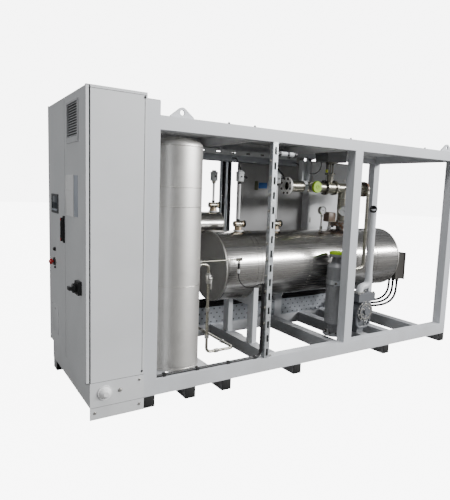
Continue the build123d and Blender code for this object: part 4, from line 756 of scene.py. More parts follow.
def handle_trim():
    """Red marks and ridge of the swing handle, ribs and pointer of the main switch."""
    ends, ridge, ribs, pointer = meshes(4)
    low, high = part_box("handle_lever")
    middle = (low.y + high.y) / 2
    for z in (low.z + MARK_INSET, high.z - MARK_INSET):
        pin(ends, Vector((low.x, middle, z)), LEFT, MARK_REACH, MARK_RADIUS, 24, CRISP)
    piece(ends, "handle_marks", "red_plastic", None, "door_handle")
    slab(
        ridge, Vector((low.x - RIDGE_REACH, middle - RIDGE_HALF_WIDTH, low.z + RIDGE_INSET)),
        Vector((low.x, middle + RIDGE_HALF_WIDTH, high.z - RIDGE_INSET)), PLATE,
    )
    piece(ridge, "handle_ridge", "black_plastic", None, "door_handle")
    for place in around(station(*KNOB_PLACE), LEFT, KNOB_RADIUS, KNOB_RIBS):
        barrel(ribs, place + RIGHT * RIB_HALF_LENGTH, place + LEFT * RIB_HALF_LENGTH, RIB_RADIUS, 8)
    piece(ribs, "knob_ribs", "black_plastic", None, "main_switch")
    for line in POINTER:
        block(pointer, *line)
    piece(pointer, "knob_pointer", "white_plastic", None, "main_switch")


# Expansion tank: its welds, drain line and level probe
TANK_WELD_LIFT, TANK_WELD_LEVELS, TANK_BEAD = 0.003, (0.894, 1.52, 1.67), 0.0028
NOZZLE_WELDS = ((0.987, 0.262, 1.03, 0.026), (0.9835, 0.225, 1.062, 0.017))
NOZZLE_BEAD = 0.003
DRAIN_X, DRAIN_Y, DRAIN_LEVEL, DRAIN_TURN = 1.098, 0.262, 0.255, 1.375
NUT_LENGTH, NUT_RADIUS = 0.034, 0.0205
NOZZLE_NUTS = ((0.985, 0.262, 1.03, 0.033, 0.0225, PLATE), (0.982, 0.225, 1.062, 0.024, 0.0145, CRISP))
COCK = ((0.862, 0.018, 0.021, 6), (0.88, 0.058, 0.0265, 28), (0.938, 0.018, 0.021, 6))
COCK_STEM, COCK_STEM_REACH, COCK_STEM_RADIUS = (DRAIN_X, 0.24, 0.909), 0.026, 0.009
COCK_LEVER, COCK_LEVER_EDGE = ((1.0905, 1.1055), (0.2085, 0.2135), (0.82, 0.922)), 0.0018
COCK_NUT, COCK_NUT_REACH, COCK_NUT_RADIUS = (DRAIN_X, 0.2135, 0.909), 0.010, 0.0075
PROBE = (1.38, 0.225)
CONNECTOR_LEVEL = 0.957
CONNECTOR_PROFILE = ((0.0086, -0.016), (0.0112, -0.016), (0.0125, 0.0), (0.0112, 0.018), (0.0086, 0.018))
PROBE_SLEEVE_LEVEL, PROBE_SLEEVE = 1.008, (0.0086, 0.0108, 0.052)


def tank_trim():
    """Weld rings of the expansion tank and the fittings of its drain and level probe."""
    welds, fittings, connector, plug = meshes(4)
    low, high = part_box("tank_shell")
    middle, radius = (low + high) / 2, (high.x - low.x) / 2
    for z in (low.z + TANK_WELD_LIFT, *TANK_WELD_LEVELS, high.z):
        hoop(welds, Vector((middle.x, middle.y, z)), UP, radius, TANK_BEAD, 72)
    for x, y, z, size in NOZZLE_WELDS:
        hoop(welds, station(x, y, z), RIGHT, size, NOZZLE_BEAD, 32)
    piece(welds, "tank_welds", "satin_stainless", "weld")
    for x, y, z, length, size, edge in NOZZLE_NUTS:
        pin(fittings, station(x, y, z), RIGHT, length, size, 6, edge)
    for seat, axis in (
        (station(DRAIN_X, DRAIN_Y, 0.62), UP), (station(DRAIN_X, DRAIN_Y, 0.38), UP),
        (station(1.18, DRAIN_Y, DRAIN_LEVEL), RIGHT),
        (station(DRAIN_TURN, 0.45, DRAIN_LEVEL), AWAY), (station(DRAIN_TURN, 0.82, DRAIN_LEVEL), AWAY),
    ):
        pin(fittings, seat, axis, NUT_LENGTH, NUT_RADIUS, 6, PLATE)
    for z, length, size, sides in COCK:
        pin(fittings, station(DRAIN_X, DRAIN_Y, z), UP, length, size, sides, SOFT)
    pin(fittings, station(*COCK_STEM), TOWARDS, COCK_STEM_REACH, COCK_STEM_RADIUS, 16, CRISP)
    block(fittings, *COCK_LEVER, COCK_LEVER_EDGE)
    pin(fittings, station(*COCK_NUT), TOWARDS, COCK_NUT_REACH, COCK_NUT_RADIUS, 6, FINE)
    piece(fittings, "drain_fittings", "pipe_stainless", "bolt_zinc")
    turned(connector, station(*PROBE, CONNECTOR_LEVEL), UP, CONNECTOR_PROFILE, 28)
    piece(connector, "probe_connector", "white_plastic")
    band(plug, station(*PROBE, PROBE_SLEEVE_LEVEL), UP, *PROBE_SLEEVE, 28)
    piece(plug, "probe_plug_sleeve", "black_plastic")


# Heater cladding and rear drum
RIVET_ROWS, RIVETS_A_ROW = (2.289, 2.311), 56
RIVET_SUNK, RIVET_HEIGHT, RIVET_RADIUS, RIVET_TOP = 0.001, 0.0022, 0.0042, 0.0028
END_SCREWS, END_SCREW_INSET = 28, 0.006
END_SCREW_HEIGHT, END_SCREW_RADIUS, END_SCREW_TOP = 0.0018, 0.0036, 0.0026
CLADDING_BEADS = (1.331, 1.705, 1.655, 3.225, 3.275, 3.609)
CLADDING_BEAD, CLADDING_BEAD_SUNK = 0.0016, 0.0006
STRAP_CLEARANCE, STRAP_THICKNESS, STRAP_WIDTH = 0.0002, 0.003, 0.04
STRAP_BOLT_OFFSET, STRAP_BOLT_DROP, STRAP_BOLT = 0.052, 0.004, 0.012
DRUM_BEAD = 0.0022


def heater_trim():
    """Rivets and beads of the heater's cladding, screws of its ends, straps and welds of the rear drum."""
    rivets, edges, straps, welds = meshes(4)
    low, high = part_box("heater_shell")
    middle, radius = (low + high) / 2, (high.z - low.z) / 2
    for x in RIVET_ROWS:
        middle.x = DOOR_FACE + x
        for place in around(middle, RIGHT, radius, RIVETS_A_ROW):
            outward = (place - middle).normalized()
            foot, top = place - outward * RIVET_SUNK, place + outward * RIVET_HEIGHT
            barrel(rivets, foot, top, RIVET_RADIUS, 8, 0.0, RIVET_TOP)
    for end, axis in zip(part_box("heater_ends"), (LEFT, RIGHT)):
        middle.x = end.x
        for place in around(middle, axis, radius - END_SCREW_INSET, END_SCREWS):
            pin(rivets, place, axis, END_SCREW_HEIGHT, END_SCREW_RADIUS, 10, 0.0, END_SCREW_TOP)
    piece(rivets, "cladding_rivets", "clad_stainless", "bolt_zinc")
    for x in CLADDING_BEADS:
        middle.x = DOOR_FACE + x
        hoop(edges, middle, RIGHT, radius - CLADDING_BEAD_SUNK, CLADDING_BEAD, 96)
    piece(edges, "cladding_beads", "clad_stainless")
    low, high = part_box("drum_shell")
    drum, size = (low + high) / 2, (high.z - low.z) / 2
    for x in (low.x, high.x, drum.x):
        hoop(welds, Vector((x, drum.y, drum.z)), RIGHT, size, DRUM_BEAD, 56)
    for x in DRUM_STANDS:
        drum.x = DOOR_FACE + x
        band(straps, drum, RIGHT, size + STRAP_CLEARANCE, size + STRAP_THICKNESS, STRAP_WIDTH, 56)
        for side in (-STRAP_BOLT_OFFSET, STRAP_BOLT_OFFSET):
            bolt(straps, station(x, DRUM_Y + side, drum.z - size / 2 - STRAP_BOLT_DROP), DOWN, STRAP_BOLT)
    piece(straps, "drum_straps", "galvanised")
    piece(welds, "drum_welds", "clad_stainless", "weld")


# Foot plates under the vessel supports
SUPPORT_PLACES, SUPPORT_LEGS = (1.68, 3.25), (0.4194, 0.8606)
PLATE_HALF, PLATE_HALF_DEPTH, PLATE_TOP = 0.046, 0.05, RAIL_TOP + 0.008
SUPPORT_BOLT_OFFSET, SUPPORT_BOLT = 0.036, 0.014
STAND_PLATE_HALF, STAND_BOLT_OFFSET, STAND_BOLT = 0.048, 0.039, 0.012


def support_trim():
    """Foot plates and bolts of the heater's and the drum's supports."""
    plates, bolts = meshes(2)
    level = (RAIL_TOP, PLATE_TOP)
    for x, y in product(SUPPORT_PLACES, SUPPORT_LEGS):
        depth = (y - PLATE_HALF_DEPTH, y + PLATE_HALF_DEPTH)
        block(plates, (x - PLATE_HALF, x + PLATE_HALF), depth, level, PLATE)
        for side in (-SUPPORT_BOLT_OFFSET, SUPPORT_BOLT_OFFSET):
            bolt(bolts, station(x + side, y, PLATE_TOP), UP, SUPPORT_BOLT)
    for x in DRUM_STANDS:
        square(plates, x, DRUM_Y, STAND_PLATE_HALF, level, PLATE)
        for dx, dy in product((-STAND_BOLT_OFFSET, STAND_BOLT_OFFSET), repeat=2):
            bolt(bolts, station(x + dx, DRUM_Y + dy, PLATE_TOP), UP, STAND_BOLT)
    # The foot plates take the darkened beam grey that paints shade
    piece(plates, "support_foot_plates", "beam_grey")
    piece(bolts, "support_bolts", "dark_steel", "bolt_zinc")


# Roof sheets between the top rails
ROOF_LEVEL, ROOF_SHEET, ROOF_GAP = 2.168, 0.003, 0.002
ROOF_SEAMS = (0.525, 1.47, 2.55, 4.05)
ROOF_DEPTH = (SECTION, FRAME_WIDTH - SECTION)
FOLD_DROP, FOLD_THICKNESS, FOLD_PLACES = 0.03, 0.002, (ROOF_DEPTH[0] + 0.001, ROOF_DEPTH[1] - 0.003)
SCREWS_A_SIDE, SCREW_END, SCREW_ROWS = 6, 0.06, (ROOF_DEPTH[0] + 0.025, ROOF_DEPTH[1] - 0.025)
ROOF_SCREW_HEIGHT, ROOF_SCREW, ROOF_SCREW_TOP = 0.0028, 0.006, 0.0045
BEARER_LEFT, BEARER_RIGHT, BEARER_WALL, BEARER_BASE = -0.03, 0.02, 0.004, 2.085


def roof():
    """Roof sheets laid between the top rails, with folded edges, screws and bearers under their seams."""
    sheets, bearers, screws = meshes(3)
    for left, right in zip(ROOF_SEAMS, ROOF_SEAMS[1:]):
        width = (left + ROOF_GAP, right - ROOF_GAP)
        block(sheets, width, ROOF_DEPTH, (ROOF_LEVEL, ROOF_LEVEL + ROOF_SHEET), CRISP)
        for y in FOLD_PLACES:
            block(sheets, width, (y, y + FOLD_THICKNESS), (ROOF_LEVEL - FOLD_DROP, ROOF_LEVEL), HAIR)
        clear = right - left - 2 * SCREW_END
        for step, y in product(range(SCREWS_A_SIDE), SCREW_ROWS):
            seat = station(left + SCREW_END + clear * step / (SCREWS_A_SIDE - 1), y, ROOF_LEVEL + ROOF_SHEET)
            pin(screws, seat, UP, ROOF_SCREW_HEIGHT, ROOF_SCREW, 12, 0.0, ROOF_SCREW_TOP)
    for x in ROOF_SEAMS[1:-1]:
        left, right = x + BEARER_LEFT, x + BEARER_RIGHT
        block(bearers, (left, left + BEARER_WALL), ROOF_DEPTH, (BEARER_BASE, ROOF_LEVEL), CRISP)
        for z in (BEARER_BASE, ROOF_LEVEL - BEARER_WALL):
            block(bearers, (left, right), ROOF_DEPTH, (z, z + BEARER_WALL), CRISP)
    piece(sheets, "roof_sheets", "frame_grey", "roof_white")
    piece(bearers, "roof_bearers", "frame_grey", "roof_white")
    piece(screws, "roof_screws", "dark_steel", "bolt_zinc")


# Slotted struts: one at the front and a row along the back
FRONT_STRUT, STRUT, STRUT_WALL = 1.5349, 0.05, 0.005
REAR_STRUTS = (1.7498, 1.82, 2.9501, 3.3)
STRUT_CELLS, SHADE_STRIP_DEPTH, SHADE_STRIP_END = (7, 90), (0.008, 0.012), 0.02


def tray_hole(column, row):
    """Whether a cell of a tray's sheet is one of its staggered holes."""
    return row % 3 == 1 and (column + 2 * (row // 3 % 2)) % 4 == 1


def strut_slot(column, row):
    """Whether a cell of a strut's web is part of one of its long slots."""
    return 2 <= column <= 4 and 1 <= row % 6 <= 3


def perforated(bm, corner, along, across, cells, wall, opening=tray_hole):
    """Perforated sheet from a corner along two directions, with the cells that the rule names cut out."""
    columns, rows = cells
    made = bmesh.ops.create_grid(bm, x_segments=columns, y_segments=rows, size=0.5)["verts"]
    faces = {f for v in made for f in v.link_faces}
    openings = []
    for face in faces:
        middle = face.calc_center_median()
        if opening(int((middle.x + 0.5) * columns), int((middle.y + 0.5) * rows)):
            openings.append(face)
    bmesh.ops.delete(bm, geom=openings, context="FACES")
    sheet = [f for f in faces if f.is_valid]
    normal = along.cross(across).normalized()
    turn = Matrix((along, across, normal)).transposed().to_4x4()
    place = Matrix.Translation(corner + (along + across) / 2) @ turn
    bmesh.ops.transform(bm, matrix=place, verts=list({v for f in sheet for v in f.verts}))
    bmesh.ops.solidify(bm, geom=sheet, thickness=wall)


def struts():
    """Slotted strut channels, with a dark strip inside them that shows through their slots as painted shade.
    """
    channels, shade_strips = meshes(2)
    rise = UP * (TOP_RAIL_BASE - RAIL_TOP)
    for left, near, inward in [(FRONT_STRUT, 0.0, 1)] + [(left, FRAME_WIDTH, -1) for left in REAR_STRUTS]:
        right = left + STRUT - STRUT_WALL
        web = station(left, min(near, near + inward * STRUT_WALL), RAIL_TOP)
        perforated(channels, web, RIGHT * STRUT, rise, STRUT_CELLS, STRUT_WALL, strut_slot)
        flange = span(near, inward, (STRUT_WALL, STRUT))
        for side in (left, right):
            block(channels, (side, side + STRUT_WALL), flange, (RAIL_TOP, TOP_RAIL_BASE), CRISP)
        # Dark strip inside each channel behind its slots: painted shade
        block(
            shade_strips, (left + STRUT_WALL, right), span(near, inward, SHADE_STRIP_DEPTH),
            (RAIL_TOP + SHADE_STRIP_END, TOP_RAIL_BASE - SHADE_STRIP_END), CRISP,
        )
    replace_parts(piece(channels, "slotted_struts", "galvanised"), "strut_channels")
    piece(shade_strips, "strut_slot_shade_strips", "black_plastic", "seal")


# Brackets and bolts of the struts, and the air line on the front one
BRACKET_ARM, BRACKET_LEG, BRACKET_WALL, BRACKET_SIDE = 0.05, 0.06, 0.005, 0.006
ARM_BOLT, LEG_BOLT, BRACKET_BOLT = 0.032, 0.042, 0.013
CLAMP_COUNT, CLAMP_START, CLAMP_PITCH, CLAMP_BOLT = 11, 0.52, 0.14, 0.015
AIR_LINE_START, AIR_LINE, AIR_LINE_LENGTH, AIR_LINE_RADIUS = 1.585, (0.028, 1.985), 0.205, 0.019
AIR_LINE_PLATE = ((1.585, 1.59), (0.006, 0.05), (1.95, 2.02))
AIR_SLEEVES, AIR_SLEEVE_RADIUS = ((1.604, 0.026), (1.7, 0.018), (1.772, 0.026)), 0.0235


def strut_trim():
    """Brackets and bolts of the slotted struts, and the small air line on the front one."""
    brackets, bolts, line, sleeves = meshes(4)
    for x, y in [(FRONT_STRUT, 0.0)] + [(left, FRAME_WIDTH - STRUT) for left in REAR_STRUTS[1:]]:
        right, middle = x + STRUT, y + STRUT / 2
        width = (y + BRACKET_SIDE, y + STRUT - BRACKET_SIDE)
        for z, away in ((RAIL_TOP, 1), (TOP_RAIL_BASE, -1)):
            for reach, height in ((BRACKET_ARM, BRACKET_WALL), (BRACKET_WALL, BRACKET_LEG)):
                block(brackets, (right, right + reach), width, span(z, away, (0.0, height)), CRISP)
            bolt(bolts, station(right + ARM_BOLT, middle, z + away * BRACKET_WALL), UP * away, BRACKET_BOLT)
            bolt(bolts, station(right + BRACKET_WALL, middle, z + away * LEG_BOLT), RIGHT, BRACKET_BOLT)
    for step in range(CLAMP_COUNT):
        bolt(bolts, station(FRONT_STRUT, STRUT / 2, CLAMP_START + step * CLAMP_PITCH), LEFT, CLAMP_BOLT)
    piece(brackets, "strut_brackets", "galvanised")
    piece(bolts, "strut_bolts", "dark_steel", "bolt_zinc")
    pin(line, station(AIR_LINE_START, *AIR_LINE), RIGHT, AIR_LINE_LENGTH, AIR_LINE_RADIUS, 28, SOFT)
    block(line, *AIR_LINE_PLATE, CRISP)
    for x, length in AIR_SLEEVES:
        pin(sleeves, station(x, *AIR_LINE), RIGHT, length, AIR_SLEEVE_RADIUS, 28, SOFT)
    piece(line, "air_line", "frame_grey", "pale")
    piece(sleeves, "air_line_sleeves", "black_plastic")


# Cable trays: two on the rear bottom rail and a high one with a lip, and the cables that lie on them
TRAY_FRONT, TRAY_BACK, TRAY_HEIGHT, TRAY_WALL, TRAY_SHEET = 1.14, 1.19, 0.19, 0.004, 0.003
LOW_TRAYS, LOW_TRAY_ROWS, TRAY_SHADE_BACKING = ((0.525, 2.5, 109), (2.6, 3.4299, 45)), 12, (0.012, 0.016)
LOW_BUNDLE_END, LOW_BUNDLE = 0.03, (
    (1.152, 0.011, 0.011), (1.176, 0.012, 0.012), (1.150, 0.034, 0.012), (1.175, 0.036, 0.012),
    (1.153, 0.058, 0.012), (1.177, 0.061, 0.013), (1.165, 0.083, 0.012),
)
HIGH_LEFT, HIGH_LENGTH, HIGH_FRONT, HIGH_WIDTH = 0.425, 2.175, 0.99, 0.15
HIGH_LEVELS, HIGH_CELLS, LIP_HEIGHT, LIP_CELLS = (1.96, 2.02), (121, 9), 0.052, (48, 3)
HIGH_RUN, HIGH_BUNDLE = (0.428, 2.596), (
    (1.012, 1.978, 0.013), (1.04, 1.976, 0.011), (1.07, 1.979, 0.014), (1.104, 1.977, 0.012),
    (1.026, 2.003, 0.014), (1.056, 2.004, 0.013), (1.016, 2.032, 0.014), (1.044, 2.03, 0.013),
)
SIGNAL_BUSHING, CABLE_BUSHING = 0.0115, 0.016


def bundle(bm, left, right, base, cables):
    """Cables that lie side by side along a tray."""
    for y, z, size in cables:
        pin(bm, station(left, y, base + z), RIGHT, right - left, size, 14, SOFT)


def trays():
    """Perforated cable trays with dark sheets behind them as painted shade, cables and bushings."""
    sheets, shade_backs, lip, cables = meshes(4)
    low, high = RAIL_TOP, RAIL_TOP + TRAY_HEIGHT
    for left, right, columns in LOW_TRAYS:
        corner = station(left, TRAY_FRONT + TRAY_SHEET / 2, low)
        run, cells = RIGHT * (right - left), (columns, LOW_TRAY_ROWS)
        perforated(sheets, corner, run, UP * TRAY_HEIGHT, cells, TRAY_SHEET)
        for z in (low, high - TRAY_WALL):
            block(sheets, (left, right), (TRAY_FRONT, TRAY_BACK), (z, z + TRAY_WALL), CRISP)
        # Dark sheet behind each low tray's holes: painted shade
        shade_backing = span(TRAY_FRONT, 1, TRAY_SHADE_BACKING)
        block(shade_backs, (left, right), shade_backing, (low + TRAY_WALL, high - TRAY_WALL), CRISP)
        bundle(cables, left + LOW_BUNDLE_END, right - LOW_BUNDLE_END, high, LOW_BUNDLE)
    run, half = RIGHT * HIGH_LENGTH, TRAY_SHEET / 2
    floor = station(HIGH_LEFT, HIGH_FRONT, HIGH_LEVELS[0] + half)
    perforated(sheets, floor, run, AWAY * HIGH_WIDTH, HIGH_CELLS, TRAY_SHEET)
    edge = station(HIGH_LEFT, HIGH_FRONT + half, HIGH_LEVELS[1])
    perforated(lip, edge, run, UP * LIP_HEIGHT, LIP_CELLS, TRAY_SHEET)
    bundle(cables, *HIGH_RUN, 0.0, HIGH_BUNDLE)
    piece(shade_backs, "tray_painted_shade_backs", "dark_steel", "fleece_and_painted_shade")
    piece(lip, "tray_lip", "galvanised", "pale")
    piece(cables, "tray_cables", "cable_black")
    for y in (HIGH_FRONT, HIGH_FRONT + HIGH_WIDTH - TRAY_WALL):
        block(sheets, (HIGH_LEFT, HIGH_LEFT + HIGH_LENGTH), (y, y + TRAY_WALL), HIGH_LEVELS, CRISP)
    for name in ("column_lead_left", "column_lead_right", "actuator_lead"):
        x, y, z = LEADS[name][2][0]
        barrel(sheets, station(x, HIGH_FRONT, z), station(x, y, z), SIGNAL_BUSHING, 20, PLATE)
    for name in ("heater_cable_front", "heater_cable_middle", "heater_cable_rear"):
        x, y, z = LEADS[name][2][-1]
        barrel(sheets, station(x, TRAY_FRONT, z), station(x, y, z), CABLE_BUSHING, 24, SOFT)
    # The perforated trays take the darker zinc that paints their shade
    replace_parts(piece(sheets, "perforated_trays", "galvanised", "tray_zinc_painted_shade"), "cable_trays")


# Strainer and the lime caps on it and on the pipe's branch
STRAINER = (2.55, 0.205)
RING_COUNT, RING_START, RING_PITCH, STRAP_LEVELS = 27, 0.385, 0.0205, (0.755, 0.815)
RING_PROFILE = ((0.0975, -0.004), (0.0996, -0.0015), (0.0996, 0.0015), (0.0975, 0.004))
BASE_LEVEL, BASE_HEIGHT, BASE_RADIUS = 0.2345, 0.025, 0.1095
NECK_LEVELS, NECK_RADIUS, NECK_BEAD = (0.985, 0.32), 0.0565, 0.004
STRAINER_BOLTS = ((1.04, DOWN, 0.0735, 0.016), (0.26, UP, 0.084, 0.018))
STRAP_SCREW_PLACE, STRAP_SCREW = (2.444, 0.1, 0.785), 0.015
CAP_LEVEL, CAP_RIB_LEVEL, CAP_RIB, CAP_RIB_BEAD = 1.066, 1.088, 0.03, 0.003
CAP_PROFILE = ((0.0826, -0.004), (0.0865, -0.004), (0.0865, 0.012), (0.0826, 0.0215))
BRANCH_X, BRANCH_END, BRANCH_RIB, BRANCH_RIB_BEAD = 2.49, 0.491, 0.018, 0.0035
BRANCH_PROFILE = ((0.056, -0.026), (0.06, -0.026), (0.06, -0.008), (0.056, -0.002))
PIPE_LEVEL, RISER, VALVE = 1.728, 3.002, 2.79


def strainer_trim():
    """Rings, flange bolts and strap bolt of the strainer, and the rims of the lime caps."""
    rings, bolts, caps = meshes(3)
    for step in range(RING_COUNT):
        z = RING_START + step * RING_PITCH
        if not STRAP_LEVELS[0] < z < STRAP_LEVELS[1]:
            turned(rings, station(*STRAINER, z), UP, RING_PROFILE, 48)
    pin(rings, station(*STRAINER, BASE_LEVEL), UP, BASE_HEIGHT, BASE_RADIUS, 8, SOFT)
    for z in NECK_LEVELS:
        hoop(rings, station(*STRAINER, z), UP, NECK_RADIUS, NECK_BEAD, 40)
    piece(rings, "strainer_rings", "strainer_grey")
    for z, axis, radius, across in STRAINER_BOLTS:
        bolt_circle(bolts, station(*STRAINER, z), axis, radius, 8, across)
    bolt(bolts, station(*STRAP_SCREW_PLACE), TOWARDS, STRAP_SCREW)
    piece(bolts, "strainer_bolts", "dark_steel", "bolt_dark")
    turned(caps, station(*STRAINER, CAP_LEVEL), UP, CAP_PROFILE, 48)
    hoop(caps, station(*STRAINER, CAP_RIB_LEVEL), UP, CAP_RIB, CAP_RIB_BEAD, 32)
    branch = station(BRANCH_X, BRANCH_END, PIPE_LEVEL)
    turned(caps, branch, TOWARDS, BRANCH_PROFILE, 40)
    hoop(caps, branch, TOWARDS, BRANCH_RIB, BRANCH_RIB_BEAD, 28)
    piece(caps, "cap_rims", "green_plastic")


# Main oil pipe: its open end, bolt circles, welds, bonnet rings and hanger
END_FACE_X, END_FACE_PROFILE = 2.19, (
    (0.0452, 0.0035), (0.066, 0.0035), (0.0665, 0.0012),
    (0.0888, 0.0012), (0.0888, -0.0225), (0.0452, -0.0225),
)
END_LINER_X, END_LINER = 2.2, (0.041, 0.0452, 0.018)
PIPE_BOLTS = (
    (2.1888, PIPE_LEVEL, LEFT, 0.0775, 8, 0.0135), (2.212, PIPE_LEVEL, RIGHT, 0.0735, 8, 0.0135),
    (3.312, PIPE_LEVEL, LEFT, 0.0735, 8, 0.014), (3.334, PIPE_LEVEL, RIGHT, 0.0735, 8, 0.014),
    (VALVE - 0.075, PIPE_LEVEL, LEFT, 0.0695, 8, 0.0135),
    (VALVE + 0.075, PIPE_LEVEL, RIGHT, 0.0695, 8, 0.0135),
    (RISER, 1.359, UP, 0.103, 8, 0.026), (RISER, 1.311, DOWN, 0.103, 8, 0.026),
    (VALVE, 1.878, UP, 0.047, 4, 0.012),
)
YOKE_OFFSET, YOKE_LEVELS, YOKE_NUT_HEIGHT, YOKE_NUT_RADIUS = 0.034, (1.878, 1.976), 0.012, 0.0135
PIPE_WELDS = (
    ((2.213, MIDDLE_Y, PIPE_LEVEL), RIGHT, 0.0572, 0.0028, 48),
    ((2.62, MIDDLE_Y, PIPE_LEVEL), RIGHT, 0.0572, 0.0028, 48),
    ((3.311, MIDDLE_Y, PIPE_LEVEL), RIGHT, 0.0572, 0.0028, 48),
    ((RISER, MIDDLE_Y, 1.36), UP, 0.0575, 0.0028, 48),
    ((RISER, MIDDLE_Y, 1.62), UP, 0.0572, 0.0028, 48),
    ((BRANCH_X, 0.583, PIPE_LEVEL), TOWARDS, 0.0425, 0.004, 48),
    ((RISER, 0.58, PIPE_LEVEL), TOWARDS, 0.0175, 0.004, 32),
)
BONNET_RINGS, BONNET_START, BONNET_PITCH, BONNET_RING = 4, 1.812, 0.0125, (0.0338, 0.045, 0.005)
HANGER_PLATES = (
    ((2.37, 2.375), (0.61, 0.67), (1.787, 1.995)), ((2.465, 2.47), (0.61, 0.67), (1.787, 1.995)),
    ((2.37, 2.47), (0.665, 0.67), (1.787, 1.995)), ((2.37, 2.47), (0.61, 0.67), (1.7845, 1.7895)),
)
HANGER_X, HANGER_CLIP, HANGER_EARS, HANGER_BOLT = 2.42, (0.0572, 0.062, 0.04), (0.575, 0.705), 0.012
EAR_HALF_LENGTH, EAR_HALF_WIDTH, EAR_HALF_HEIGHT = 0.015, 0.014, 0.005


def pipe_trim():
    """End face, bolts, welds, bonnet rings and hanger of the main oil pipe."""
    bright, bolts, welds, fins, hanger = meshes(5)
    turned(bright, station(END_FACE_X, MIDDLE_Y, PIPE_LEVEL), LEFT, END_FACE_PROFILE, 56)
    band(bright, station(END_LINER_X, MIDDLE_Y, PIPE_LEVEL), RIGHT, *END_LINER, 48)
    # The end face and its liner take the pale finish that paints their highlight
    piece(bright, "pipe_end_face", "pipe_stainless", "painted_highlight_face")
    for x, z, axis, radius, count, across in PIPE_BOLTS:
        bolt_circle(bolts, station(x, MIDDLE_Y, z), axis, radius, count, across)
    for x, z in product((VALVE - YOKE_OFFSET, VALVE + YOKE_OFFSET), YOKE_LEVELS):
        pin(bolts, station(x, MIDDLE_Y, z), UP, YOKE_NUT_HEIGHT, YOKE_NUT_RADIUS, 6, CRISP)
    piece(bolts, "pipe_bolts", "dark_steel", "bolt_dark")
    for place, axis, radius, size, sides in PIPE_WELDS:
        hoop(welds, station(*place), axis, radius, size, sides)
    piece(welds, "pipe_welds", "pipe_stainless", "weld")
    for step in range(BONNET_RINGS):
        band(fins, station(VALVE, MIDDLE_Y, BONNET_START + step * BONNET_PITCH), UP, *BONNET_RING, 36)
    piece(fins, "bonnet_rings", "pipe_stainless")
    for plate in HANGER_PLATES:
        block(hanger, *plate, CRISP)
    band(hanger, station(HANGER_X, MIDDLE_Y, PIPE_LEVEL), RIGHT, *HANGER_CLIP, 48)
    half = Vector((EAR_HALF_LENGTH, EAR_HALF_WIDTH, EAR_HALF_HEIGHT))
    for y in HANGER_EARS:
        ear = station(HANGER_X, y, PIPE_LEVEL)
        slab(hanger, ear - half, ear + half, CRISP)
        bolt(hanger, ear + UP * EAR_HALF_HEIGHT, UP, HANGER_BOLT)
    piece(hanger, "pipe_hanger", "galvanised", "pale")


# Valve actuator: cover screws, hand crank and indicator ring
COVER_BOLT_INSET, COVER_BOLT = 0.016, 0.011
CRANK, CRANK_REACH, CRANK_RADIUS = (2.69, 0.59, 2.002), 0.084, 0.0085
CRANK_TIP, CRANK_TIP_RADIUS = 0.032, 0.0135
INDICATOR_PROFILE = ((0.026, 0.0), (0.032, 0.0), (0.031, 0.008), (0.026, 0.014))


def actuator_trim():
    """Cover screws, hand crank and indicator ring of the valve's actuator."""
    screws, tip, ring = meshes(3)
    low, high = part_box("valve_actuator")
    inset = COVER_BOLT_INSET
    for x, y in product((low.x + inset, high.x - inset), (low.y + inset, high.y - inset)):
        bolt(screws, Vector((x, y, high.z)), UP, COVER_BOLT)
    crank = station(*CRANK)
    pin(screws, crank, DOWN, CRANK_REACH, CRANK_RADIUS, 16, CRISP)
    piece(screws, "actuator_screws", "dark_steel", "bolt_dark")
    pin(tip, crank + DOWN * CRANK_REACH, DOWN, CRANK_TIP, CRANK_TIP_RADIUS, 24, ROUND)
    piece(tip, "actuator_crank_tip", "green_plastic", "lime_tip")
    turned(ring, station(VALVE, MIDDLE_Y, high.z), UP, INDICATOR_PROFILE, 36)
    piece(ring, "actuator_indicator_ring", "actuator_dark")


# Gauges: bezel past the dial's radius, graduations and pointer as shares of it
BEZEL_PROFILE = ((-0.007, -0.002), (0.002, -0.002), (0.002, 0.005), (-0.004, 0.009), (-0.007, 0.005))
CARD_INSET, CARD_THICKNESS, HUB_HEIGHT, HUB_RADIUS = 0.006, 0.002, 0.004, 0.005
TICK_COUNT, TICK_START, TICK_STEP, READING = 11, -135.0, 27.0, 62.0
TICK_MIDDLE, TICK_SHARE, TICK_WIDTH, TICK_HEIGHT = 0.72, 0.16, 0.0014, 0.0008
HAND_MIDDLE, HAND_SHARE, HAND_WIDTH, HAND_HEIGHT, HAND_LIFT = 0.26, 0.74, 0.0028, 0.0012, 0.0016
GAUGE_LEVEL, SMALL_GAUGE, SMALL_DIAL = 1.48, (2.7, 0.623), 0.044
LARGE_TURN, LARGE_REACH, LARGE_DIAL = math.radians(33.4), 0.136, 0.058
GAUGE_NUTS = ((2.7, 1.28, 0.03, 0.017), (2.7, 1.41, 0.024, 0.013), (2.819, 1.278, 0.027, 0.022))
SENSOR_COVER = (
    ((2.7678, 2.8702), (0.5938, 0.6862), (1.3588, 1.4562), 0.007),
    ((2.7745, 2.8635), (0.6005, 0.6795), (1.4555, 1.462), 0.003),
)


def dial_mark(bm, place, angle, middle, lift, size):
    """Graduation or pointer of a dial, at an angle from its top."""
    turn = place @ Matrix.Rotation(math.radians(angle), 4, "Z") @ Matrix.Translation((0.0, middle, lift))
    bmesh.ops.create_cube(bm, size=1.0, matrix=turn @ Matrix.Diagonal((*size, 1.0)))


